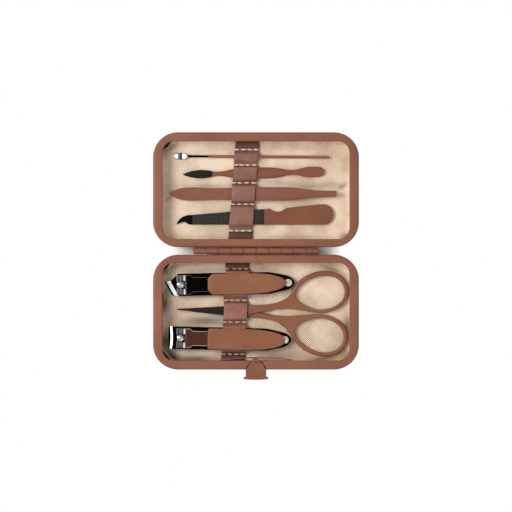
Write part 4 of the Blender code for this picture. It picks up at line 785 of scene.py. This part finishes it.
def slim(x, wide, tall, low, power=2.4, sides=20):
    """Closed sections along x, each a superellipse of that width and thickness standing on low."""
    angles = 2 * math.pi * (np.arange(sides) + 0.5) / sides
    c, s = np.cos(angles), np.sin(angles)
    y = np.sign(c) * np.abs(c) ** (2 / power) * wide[:, None] / 2
    z = low + (1 + np.sign(s) * np.abs(s) ** (2 / power)) * tall[:, None] / 2
    return np.stack([np.repeat(x[:, None], sides, 1), y, z], -1)


def zones(x, count, limits):
    """A finish number for each face of a skin over sections at x: how many limits lie before it."""
    middle = (x[1:] + x[:-1]) / 2
    return np.concatenate([np.repeat(np.searchsorted(limits, middle), count), [0, len(limits)]])


tool_paint = satin_paint("satin_brown_tool_lacquer", "8C573D", "7E4B34", 0.4)
light_paint = satin_paint("satin_light_brown_tool_lacquer", "A06A4F", "8F5A42", 0.4)
nickel_and_painted_highlight = metal("bright_nickel_and_painted_highlight", "DAD7D2", 0.12)
black_chrome = metal("polished_black_chrome", "191718", 0.14)
pick_table = [(0, 0.5, 0.5), (0.008, 0.82, 0.5), (0.03, 1, 0.5), (0.06, 0.96, 0.55)]
pick_table += [(0.078, 0.66, 0.6), (0.092, 0.36, 0.6), (0.15, 0.33, 0.7), (0.215, 0.33, 0.75)]
pick_table += [(0.22, 0.41, 0.95), (0.6, 0.42, 1.0), (0.995, 0.42, 1.0), (1, 0.34, 0.85)]
pick_start, pick_y, pick_length = -45.9, 87.12, 87.1
x, wide, tall = stations(pick_table, (pick_length, 3.9, 1.6), 240)
rows = slim(x, wide, tall, TOOL_FLOOR + 0.8 - 0.5 * tall.max(), 2.2)
rows[..., 2] += (1.6 - tall[:, None]) / 2
dish = 0.5 * np.exp(-(((x - 4.0) / 1.7) ** 2))[:, None] * (1 - (2 * rows[..., 1] / wide[:, None]) ** 2)
rows[..., 2] -= np.where(rows[..., 2] > TOOL_FLOOR + 0.8, dish, dish * 0.75)
rows[..., 2] -= 0.26 * np.clip(1.6 - x, 0, None)[:, None]
kinds = zones(x, rows.shape[1], [1.5, 2.7, 4.3, 7.4, 19.1])
pick = place(wrap(rows - (pick_length, 0, 0)), (pick_start + pick_length, pick_y, 0), -0.4)
# Painted reflection: two bands across the spoon's bowl take a grey-blue and a dark grey nickel, standing
# for the surroundings mirrored in it.
painted_reflection_grey = metal("nickel_with_painted_grey_reflection", "9FAAB0", 0.2)
painted_reflection_dark = metal("nickel_with_painted_dark_reflection", "4E5355", 0.2)
pick_finishes = [nickel_and_painted_highlight, painted_reflection_grey, painted_reflection_dark, nickel_and_painted_highlight, black_chrome, light_paint]
make("ear_pick_spoon", (*pick, kinds), pick_finishes, "ear_pick", ["ear_pick"])

# ---- Cuticle pusher. A forged flat bar: a leaf with a black file-cut face at one end, a broad grip
# that the strap holds, and a thin spade at the other end.
pusher_table = [(0, 0.06, 0.3), (0.03, 0.36, 0.5), (0.08, 0.66, 0.6), (0.13, 0.77, 0.65)]
pusher_table += [(0.18, 0.66, 0.7), (0.215, 0.46, 0.75), (0.24, 0.4, 0.85), (0.29, 0.48, 0.95)]
pusher_table += [(0.36, 0.84, 1), (0.42, 1, 1), (0.6, 1, 1), (0.68, 0.8, 1), (0.74, 0.48, 0.95)]
pusher_table += [(0.78, 0.42, 0.85), (0.83, 0.66, 0.7), (0.88, 0.94, 0.6), (0.95, 0.95, 0.5)]
pusher_table += [(0.985, 0.7, 0.45), (1, 0.3, 0.4)]


def file_cut(name, colour, deep, pitch_m):
    """Black steel with crossed file teeth: two slanted wave patterns, of which the higher one counts,
    raised to a power so that the crests are narrow."""
    material, tree, shader, where = finish(name, 0.42, 0.9)
    found = []
    for turn in (38, -38):
        lay = node(tree, "Mapping", {"Vector": where, "Rotation": (0, 0, math.radians(turn))})
        wave = node(tree, "TexWave", {"Vector": lay, "Scale": 0.1 * math.pi / pitch_m})
        found.append(wave.outputs["Fac"])
    higher = node(tree, "Math", {0: found[0], 1: found[1]}, operation="MAXIMUM")
    teeth = node(tree, "Math", {0: higher, 1: 6.0}, operation="POWER")
    base = node(tree, "Mix", {0: teeth, 6: deep, 7: colour}, data_type="RGBA")
    bump = node(tree, "Bump", {"Height": teeth, "Distance": 0.00012, "Strength": 0.8})
    join(shader, {"Base Color": base, "Normal": bump})
    return material


rough_black = file_cut("fine_file_cut_black_steel", "3F3C39", "131211", 0.0006)
x, wide, tall = stations(pusher_table, (79.7, 6.1, 2.0), 160)
rows = slim(x, np.clip(wide, 0.3, 9), tall, 0.0, 2.8, 24)
rows[..., 2] += TOOL_FLOOR + 1.0 - tall[:, None] / 2
kinds = zones(x, rows.shape[1], [16.7])
pusher = (*place(wrap(rows - (34, 0, 0)), (-7.2, 78.05, 0), 1.1), kinds)
finishes = [rough_black, tool_paint]
make("pusher_bar", pusher, finishes, "cuticle_pusher", ["cuticle_pusher"])

# ---- Tweezers. Two steel strips welded at the heel, the upper sprung open; each has a ribbed grip
# across its middle and narrows to a square tip.
arm_table = [(0, 0.1), (0.02, 0.42), (0.055, 0.78), (0.1, 0.97), (0.14, 1.0), (0.2, 0.91), (0.27, 0.88)]
arm_table += [(0.36, 0.92), (0.46, 1.0), (0.68, 1.0), (0.76, 0.88), (0.81, 0.72), (0.86, 0.56)]
arm_table += [(0.91, 0.47), (0.96, 0.44), (1, 0.43)]
arm_length, arm_width, rib_start, rib_end, rib_pitch = 93.8, 7.4, 47, 71, 1.0
x = [np.linspace(0, rib_start - 0.5, 60), np.linspace(rib_start, rib_end, 121)]
x = np.concatenate(x + [np.linspace(rib_end + 0.5, arm_length, 30)])
wide = follow(np.array(arm_table) * (arm_length, arm_width), x)[:, 0]
ribs = 0.07 * np.sin((x - rib_start) * 2 * math.pi / rib_pitch)
ribs *= np.clip(np.minimum(x - rib_start, rib_end - x), 0, 1)
for name, pitch_deg, low, body in (
    ("lower", 0.0, 3.95, "tweezers"),
    ("upper", -1.9, 5.1, "tweezers_arm"),
):
    rows = bar(x - 2.5, -wide / 2, wide / 2, 0.0, 0.9, 0.28, across=6)
    if name == "upper":
        rows[..., 2] += np.where(rows[..., 2] > 0.6, ribs[:, None], 0)
    arm = place(wrap(rows), (-46.1, 66.39, low), pitch=pitch_deg)
    make(f"tweezers_{name}_strip", arm, [tool_paint], body, [f"tweezers_{name}_arm"])

# ---- Nail file. A flat steel strip: a black hooked trimmer, a tapered length with crossed file
# teeth, and a painted handle with a thumb notch and a round end.
file_length, file_width, file_sheet = 88.5, 11.4, 1.2
upper_shares = [(0, 0.05), (0.012, 0.2), (0.035, 0.38), (0.07, 0.47), (0.1, 0.48), (0.3, 0.605)]
upper_shares += [(0.55, 0.76), (0.583, 0.775)]
upper_side = np.array(upper_shares) * (file_length, file_width)
notch_run = np.linspace(-1, 1, 21)
notch_curve = 0.81 * file_width - 2.0 * np.cos(notch_run * math.pi / 2) ** 0.8
notch_side = np.column_stack([0.642 * file_length + 4.7 * notch_run, notch_curve])
end_radius = file_width / 2
end_centre = (file_length - end_radius, end_radius)
round_end = [(0.9 * file_length, file_width * 0.995)] + bow(end_centre, end_radius, 84, 0, 20)
upper_side = np.vstack([upper_side, notch_side, round_end])
upper_side = upper_side[np.argsort(upper_side[:, 0], kind="stable")]
hook_shares = [(0.0, 0.02), (0.01, 0.05), (0.025, 0.1), (0.045, 0.135), (0.06, 0.085), (0.078, 0.01)]
hook_shares += [(0.1, 0)]
hook_x = np.linspace(0, 0.1 * file_length, 40)
hook_y = follow(np.array(hook_shares) * (file_length, file_width), hook_x)
lower_end = bow(end_centre, end_radius, -90, 0, 20)
lower_side = np.vstack([np.column_stack([hook_x, hook_y]), lower_end])
x = [np.linspace(*run) for run in ((0.0, 9.0, 46), (9.2, 49.3, 60), (49.4, 64, 60), (65, 82, 18))]
x = np.concatenate(x + [file_length - end_radius * (1 - np.sin(np.linspace(0, math.pi / 2, 30)[1:]))])
y0 = np.interp(x, lower_side[:, 0], lower_side[:, 1])
y1 = np.interp(x, upper_side[:, 0], upper_side[:, 1])
middle = (y0 + y1) / 2
y0, y1 = np.minimum(y0, middle - 0.1), np.maximum(y1, middle + 0.1)
rows = bar(x, y0, y1, TOOL_FLOOR, TOOL_FLOOR + file_sheet, 0.22, across=4)
kinds = zones(x, rows.shape[1], [8.7, 49.35])
file_part = (*wrap(rows + (-44.7, 49.15, 0)), kinds)
trimmer_black = metal("black_oxide_steel", "121214", 0.3)
coarse_black = file_cut("crossed_file_teeth", "55514B", "040303", 0.00115)
finishes = [trimmer_black, coarse_black, tool_paint]
make("file_strip", file_part, finishes, "nail_file", ["nail_file"])

# ---- Scissors. Two forged halves on one screw: black ground blades, and handles painted brown that
# run into oval finger rings.
PIVOT, SCISSORS_TURN = (-11.05, 0.25, 0.0), -2.0
BLADE, HALF_BLADE, SETBACK, RING_WIDTH = 33.7, 3.7, 47.3, 23.4
outer_shares = [(-1, -0.05), (-0.65, -0.34), (-0.24, -0.66), (0, -0.98), (0.2, -0.98)]
inner_shares = [(-1, 0.05), (-0.65, 0.34), (-0.24, 0.66), (0, 0.85), (0.2, 0.98)]
gap_shares = {
    "upper": [(0.3, 0.0), (0.42, 0.06), (0.59, 0.107), (0.7, 0.097), (0.887, 0.04)],
    "lower": [(0.3, 0.02), (0.356, 0.029), (0.47, 0.058), (0.592, 0.069), (0.7, 0.05), (0.887, 0.005)],
}
back_shares = {
    "upper": [(0.3, 0.17), (0.384, 0.2), (0.49, 0.247), (0.592, 0.355), (0.64, 0.46), (0.672, 0.56)],
    "lower": [(0.3, 0.147), (0.384, 0.165), (0.498, 0.232), (0.592, 0.368), (0.645, 0.5), (0.68, 0.55)],
}
band_shares = {
    "upper": [(0.694, 0.5), (0.703, 0.36), (0.74, 0.275), (0.795, 0.221), (0.887, 0.15)],
    "lower": [(0.7, 0.42), (0.706, 0.33), (0.727, 0.242), (0.773, 0.19), (0.887, 0.144)],
}


def finger_ring(thicker, sides=96, around=20):
    """An oval ring: its hole is an ellipse narrowed towards the shank, and its band a superellipse
    section that stands outwards from it, wider on one side by a share of its mean width."""
    long_axis, short_axis, narrowed, band = 13.8, 9.3, 0.13, 2.4
    a = 2 * math.pi * np.arange(sides) / sides
    c, s = np.cos(a), np.sin(a)
    line = np.column_stack([long_axis * c, short_axis * s * (1 + narrowed * c)])
    slope = short_axis * (c + narrowed * (c * c - s * s))
    out = np.column_stack([slope, long_axis * s])
    out /= np.linalg.norm(out, axis=1, keepdims=True)
    b = 2 * math.pi * (np.arange(around) + 0.5) / around
    half = (band * (1 + thicker * s) / 2)[:, None]
    across = half * (1 + np.sign(np.cos(b)) * np.abs(np.cos(b)) ** 0.8)
    rise = 1.2 * np.sign(np.sin(b)) * np.abs(np.sin(b)) ** 0.8
    flat = line[:, None] + out[:, None] * across[:, :, None]
    up = np.broadcast_to(rise[None, :, None], (*flat.shape[:2], 1))
    return wrap(np.concatenate([flat, up], -1), ring=True)


def blended(name, part, voxel, passes):
    """A part's overlapping solids as one skin: remeshed at a voxel size in millimetres, then
    smoothed by moving each point towards its neighbours a number of times."""
    thing = put(name, mesh_of(name, part, []))
    net = thing.modifiers.new("net", "REMESH")
    net.mode, net.voxel_size, net.use_smooth_shade = "VOXEL", voxel * MM, True
    calm = thing.modifiers.new("calm", "SMOOTH")
    calm.factor, calm.iterations = 0.5, passes
    graph = bpy.context.evaluated_depsgraph_get()
    mesh = bpy.data.meshes.new_from_object(thing.evaluated_get(graph))
    points = np.zeros(len(mesh.vertices) * 3)
    mesh.vertices.foreach_get("co", points)
    faces = [list(p.vertices) for p in mesh.polygons]
    bpy.data.objects.remove(thing)
    return points.reshape(-1, 3) / MM, faces


# Painted light: the base tray's tools take a lighter copy of the lid tools' brown lacquer, for the
# brighter light on that tray.
lacquer_painted_brighter = satin_paint("satin_brown_lacquer_painted_brighter", "986247", "8A563C", 0.4)
blade_black = metal("ground_black_blade", "2C2A27", 0.3, 0.4, 900.0, (0.15, 2.5, 1))
for which, way, body in (("upper", 1, "base"), ("lower", -1, "scissors_half")):
    z0 = 5.3 if which == "upper" else 3.95
    outer = np.array(outer_shares) * (BLADE, way * HALF_BLADE)
    inner = np.array(inner_shares) * (BLADE, way * HALF_BLADE)
    x = np.linspace(-BLADE, 6.7, 60)
    one = np.interp(x, outer[:, 0], outer[:, 1])
    two = np.interp(x, inner[:, 0], inner[:, 1])
    y0, y1 = np.minimum(one, two), np.maximum(one, two)
    blade = wrap(bar(x, y0, y1, z0, z0 + 1.1, 0.12))

    back = np.array(back_shares[which] + band_shares[which]) * (SETBACK, RING_WIDTH)
    gap_line = np.array(gap_shares[which]) * (SETBACK, RING_WIDTH)
    x = np.concatenate([np.linspace(13.6, 31.5, 40), np.linspace(31.8, 41.9, 30)])
    y1 = np.interp(x, back[:, 0], back[:, 1])
    y0 = np.minimum(np.interp(x, gap_line[:, 0], gap_line[:, 1]) + 0.15, y1 - 0.4)
    y0, y1 = (y0, y1) if way > 0 else (-y1, -y0)
    shank = wrap(bar(x, y0, y1, 4.0, 6.35, 0.6, corner=4))
    neck_x = np.array([-4.5, 0, 4, 8, 11, 14, 17, 19])
    lap_out = way * np.array([3.4, 3.6, 3.75, 3.95, 4.1, 4.3, 4.5, 4.7])
    if which == "lower":
        lap_out = -np.array([3.4, 3.5, 3.5, 3.45, 3.4, 3.45, 3.6, 3.75])
    lap_in = way * np.array([-3.3, -3.5, -2.7, -1.4, -0.4, 0.18, 0.55, 0.9])
    one, two = np.minimum(lap_in, lap_out), np.maximum(lap_in, lap_out)
    lap = wrap(bar(neck_x, one, two, z0 + 0.02, z0 + 1.08, 0.2))
    ring_at = (46.85, 11.95, 5.175) if which == "upper" else (47.2, -11.6, 5.175)
    ring = place(finger_ring(0.22 if which == "upper" else 0.0), ring_at, way * 10)
    handle = blended(f"scissors_{which}_handle", together(shank, lap, ring), 0.24, 4)
    part = place(together((*blade, 1), (*handle, 0)), PIVOT, SCISSORS_TURN)
    nodes, finishes = [f"scissors_{which}_half"], [lacquer_painted_brighter, blade_black]
    cuts = []
    for radius, low in ((1.4, 0), (2.1, 5.6))[: 2 if which == "upper" else 1]:
        cuts.append(place(lathe([(radius, low), (radius, 10)], 32), PIVOT))
    make(f"scissors_{which}", part, finishes, body, nodes, cuts)

screw_steel = metal("turned_steel", "8E8B88", 0.25, 0.2, 1200.0)
screw = lathe([(1.1, 3.95), (1.1, 5.85), (1.75, 5.85), (1.8, 5.95), (1.8, 6.25), (1.65, 6.4)])
slot_cut = place(slab((-3, 3), (-0.25, 0.25), (6.15, 7)), PIVOT, 30)
make("scissors_pin", place(screw, PIVOT), [screw_steel], "base", ["scissors_screw"], [slot_cut])

# ---- Nail clippers. Two spring-steel jaws in mirror-black chrome, riveted at the tail and ground
# bright at the cutting edge; a post runs through both, and a forked lever hooks on it by a crossbar.
ground_edge_and_painted_highlight = metal("ground_bright_steel_and_painted_highlight", "F2F0ED", 0.36)
nose_steel = metal("brushed_grey_steel", "5C5C5A", 0.38, 0.6, 1400.0, (3, 0.4, 1))
post_steel = metal("polished_steel_post", "B5AEAB", 0.14)
rivet_nickel = metal("satin_nickel", "CDC7BC", 0.26)
mirror = metal("mirror_black_chrome", "0C0B0C", 0.08)
brown_mirror = metal("mirror_brown_black_chrome", "5A3A2E", 0.16)
JAW_HALF, JAW_SHEET, REST_ANGLE = 6.3, 1.1, 1.8


def jaw(kind, reach, upper):
    """One jaw on its rivet's origin. Sections stand at distances behind the cutting edge; each point
    moves back by the edge's own curve there, a slant or a shallow hollow, which fades out behind.
    The upper lip slopes down in a bright ground facet, and the lower lip reaches a little past it."""
    facet, trim = (2.35, (0.5, 1.5)) if kind == "slant" else (1.25, (-1.2, -0.4))
    d = [0, 0.1, 0.3, 0.6, 0.9, facet, facet + 0.3, 3.0, 3.4, 4.2, 5.2]
    d = np.unique(np.concatenate([d, np.linspace(6.3, 12, 8)]))
    reach -= trim[upper]
    tail = np.array([(-0.35 * reach, JAW_HALF), (-0.175 * reach, 6.15), (-5.2, 5.05), (0, 3.8)])
    tail = np.vstack([tail, [(2.1, 2.5), (3.25, 1.1), (3.7, 0.12)]])
    x = np.concatenate([d - reach, np.linspace(-0.35 * reach, 2, 40), np.linspace(2.1, 3.7, 16)])
    behind = x + reach
    half = follow(tail, np.clip(x, tail[0, 0], None))[:, 0]
    tongue = 2.5 if upper else 3.4
    high = np.minimum(half, 2.05 + np.clip(behind - tongue, 0, None)) if kind == "slant" else half
    if upper:
        z0 = np.interp(behind, (0, 0.9), (-0.45, 0))
        drop = 0.75 if kind == "slant" else 0.35
        places = (0, 0.1, facet, facet + 0.3)
        z1 = np.interp(behind, places, (0.75 - drop, 1.0 - drop, 1.0, JAW_SHEET))
    else:
        z0, z1 = np.interp(behind, (0, 3), (-0.6, -JAW_SHEET)), np.interp(behind, (0, 1.4), (0.5, 0))
    rows = bar(x, -half, high, z0, z1, 0.1, across=14, corner=2)
    y = rows[..., 1]
    slant, hollow = 0.55 * np.maximum(0, 2.05 - y), 0.5 * np.clip(1 - (y / JAW_HALF) ** 2, 0, 1)
    shift = slant if kind == "slant" else hollow
    fade = np.interp(behind, (3.2, 18.0), (1, 0))[:, None]
    rows[..., 0] += shift * fade
    middle = (behind[1:] + behind[:-1]) / 2
    bright = (middle < facet) & upper
    return (*wrap(rows), np.concatenate([np.repeat(bright, rows.shape[1]), [upper, False]]).astype(int))


def lever(kind):
    """The lever on its crossbar's origin: a strip whose line runs forward under the bar and curls up
    round it, with the plan's width at each place; raised pads and side flanges stand on it."""
    run = [(x, -1.95) for x in (56, 53.2, 50, 44.8, 36, 26, 16.8, 10, 6.9, 6.0, 5.2, 3.3, 2.9, 1.5)]
    run += bow((0, 0), 1.95, 270, 200, 10)
    line = np.array(run, float)[::-1]
    spots, halves = (2.9, 5.2, 6.9, 16.8, 44.8, 53.2, 56), (5.6, 5.6, 4.3, 4.3, 3.44, 1.72, 0.65)
    half = np.interp(line[:, 0], spots, halves)
    rows = bar(line[:, 0], -half, half, -0.45, 0.45, 0.15, tilt=(line[:, 1], normals(line)))
    curled = np.arange(len(line)) < 11
    parts = [(*wrap(rows), zones(np.where(curled, -9, line[:, 0]), rows.shape[1], [3.1]))]
    for way in (-1, 1):
        pad_x = np.array([-1.75, -1.5, -1.0, 0.5, 1.8, 2.6, 3.0, 3.35])
        pad_z = np.array([-0.9, -0.1, 0.35, 0.45, 0.4, 0.1, -0.5, -1.3])
        y0, y1 = sorted((way * 2.3, way * 5.35))
        pad_rows = bar(pad_x, y0, y1, -1.7, pad_z, 0.3, across=3)
        # Painted highlight: the pads' rear slopes, where the nose bends down, take the near-white ground
        # steel in place of the grey.
        parts.append((*wrap(pad_rows), zones(pad_x, pad_rows.shape[1], [1.9]) * 2))
        edge_x = np.array([3.4, 3.6, 5.2, 6.9, 7.1, 14.7, 14.9])
        edge_y = way * np.interp(edge_x, (5.2, 6.9), (5.25, 3.95))
        edge_z = -1.3 + 0.25 * np.isin(np.arange(7), range(1, 6))
        flange = bar(edge_x, edge_y - 0.14, edge_y + 0.14, -1.95, edge_z, 0.1)
        # Painted highlight: on the straight clipper the flanges take bright nickel, so the neck's edges
        # show as pale lines.
        parts.append((*wrap(flange), 3 if kind == "straight" else 0))
    bar_points, bar_faces = lathe([(0.45, -2.6), (0.55, -2.5), (0.55, 2.5), (0.45, 2.6)], 20)
    parts.append((bar_points[:, (0, 2, 1)], bar_faces, 0))
    return together(*parts)


def grip(kind):
    """The painted grip on the lever: a flat-topped bar with rounded edges and a tapered tail. The
    slant clipper's front corners are cut off at an angle, and the straight one's are rounded."""
    table = {
        "slant": [(0, 0.56), (0.03, 0.77), (0.06, 0.975), (0.075, 1)],
        "straight": [(0, 0.8), (0.006, 0.9), (0.016, 0.95), (0.032, 1)],
    }[kind]
    table = table + [(0.12, 1), (0.3, 1), (0.45, 1), (0.62, 0.97)]
    table += [(0.76, 0.88), (0.88, 0.7), (0.96, 0.48), (0.99, 0.3), (1, 0.16)]
    x = 43.4 * (1 - np.cos(np.linspace(0, math.pi, 90))) / 2
    wide = 11.8 * follow(table, x / 43.4)[:, 0]
    tall = 1.5 * (1 - 0.45 * (1 - wide / 11.8))
    front = np.interp(x, (0, 0.2, 0.6), (0.45, 0.2, 0))
    return wrap(bar(x + 15.2, -wide / 2, wide / 2, -1.25, -1.25 + tall - front, 0.5, across=8, corner=5))


slot_name, jaws = "dark_chrome", [mirror, ground_edge_and_painted_highlight]
for kind, reach, setback, at, turn, neck in (
    ("slant", 70.2, 9.8, (18.15, 16.45), 1.2, mirror),
    ("straight", 64.4, 5.8, (16.25, -15.85), -1.2, brown_mirror),
):
    post_x = setback - reach
    arm_rise = (reach - setback + 2.4) * math.sin(math.radians(REST_ANGLE))
    bar_z = 5.3 + JAW_SHEET + arm_rise + 0.35 + 2.4

    def on_clipper(part, height=0.0, pitch=0.0, x=0.0):
        """A part set on this clipper: pitched, moved along it and up, then turned and placed."""
        return place(place(part, (x, 0, height), 0.0, pitch), (*at, 0.0), turn)

    post_hole = on_clipper(lathe([(2.1, 0), (2.1, 20)]), x=post_x)
    rivet_hole = on_clipper(lathe([(1.4, 0), (1.4, 20)]))
    seat_hole = on_clipper(lathe([(3.1, 0), (3.1, 4.7)]), x=post_x)
    lower = on_clipper(jaw(kind, reach, False), 5.05)
    upper = on_clipper(jaw(kind, reach, True), 5.3, REST_ANGLE)
    name = f"{kind}_clipper"
    cuts = [post_hole, rivet_hole, seat_hole]
    make(f"{name}_jaw_below", lower, jaws, "base", [f"{name}_lower_jaw"], cuts)
    body = f"{kind}_upper_jaw"
    make(f"{name}_jaw_above", upper, jaws, body, [f"{name}_upper_jaw"], cuts[:2])

    top = bar_z + 0.85 + 0.55
    foot = [(2.7, 3.95), (2.8, 4.05), (2.8, 4.35), (2.7, 4.45), (1.8, 4.45), (1.8, top - 0.35)]
    foot += [(1.72, top - 0.12), (1.5, top - 0.02), (1.3, top), (1.12, top - 0.2), (0.98, top - 0.24)]
    foot += [(0.8, top - 0.16), (0.5, top - 0.02), (0.2, top + 0.03)]
    post_notch = on_clipper(slab((-0.9, 3), (-3, 3), (bar_z - 0.85, bar_z + 0.85)), x=post_x)
    post = on_clipper(lathe(foot), x=post_x)
    make(f"{name}_pin", post, [post_steel], "base", [f"{name}_post"], [post_notch])

    head = [(1.1, 3.95), (1.1, 6.65), (2.05, 6.65), (2.15, 6.75), (2.15, 6.87), (1.95, 7.03)]
    head += [(1.55, 7.18), (1.1, 7.28), (0.6, 7.34), (0.2, 7.35)]
    rivet = on_clipper(lathe(head))
    make(f"{name}_tail_rivet", rivet, [rivet_nickel], "base", [f"{name}_rivet"])

    lever_part = on_clipper(lever(kind), bar_z, x=post_x)
    fork = on_clipper(slab((-5, 2.4), (-2.1, 2.1), (-2.6, -0.7)), bar_z, x=post_x)
    finishes = [nose_steel, neck, ground_edge_and_painted_highlight, nickel_and_painted_highlight]
    body = f"{kind}_lever"
    make(f"{name}_arm", lever_part, finishes, body, [f"{name}_lever"], [fork])
    grip_part = on_clipper(grip(kind), bar_z, x=post_x)
    make(f"{name}_handle", grip_part, [lacquer_painted_brighter], body, [f"{name}_grip"])

# ---- Inside the walls. The moulded fibre board and the foam sheet stay as their solids; they show
# only in a cut or exploded view.
# Pressed wood fibre: a fine mottled grey-brown. Cast foam: pale, with small round bubbles.
fine, bubbly = {"Scale": 900.0, "Detail": 6.0}, {"Scale": 1600.0}
for ending, name, roughness, kind, settings, dark, light in (
    ("board", "moulded_fibre_board", 0.9, "TexNoise", fine, "857B6E", "AFA699"),
    ("padding", "open_cell_foam", 0.95, "TexVoronoi", bubbly, "D2CBBE", "EFEAE0"),
):
    material, tree, shader, where = finish(name, roughness)
    pattern = node(tree, kind, {"Vector": where, **settings})
    colour = node(tree, "Mix", {0: pattern, 6: dark, 7: light}, data_type="RGBA")
    join(shader, {"Base Color": colour})
    for side in ("base", "lid"):
        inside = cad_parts[f"{side}_{ending}"]
        inside.data.materials.clear()
        inside.data.materials.append(material)
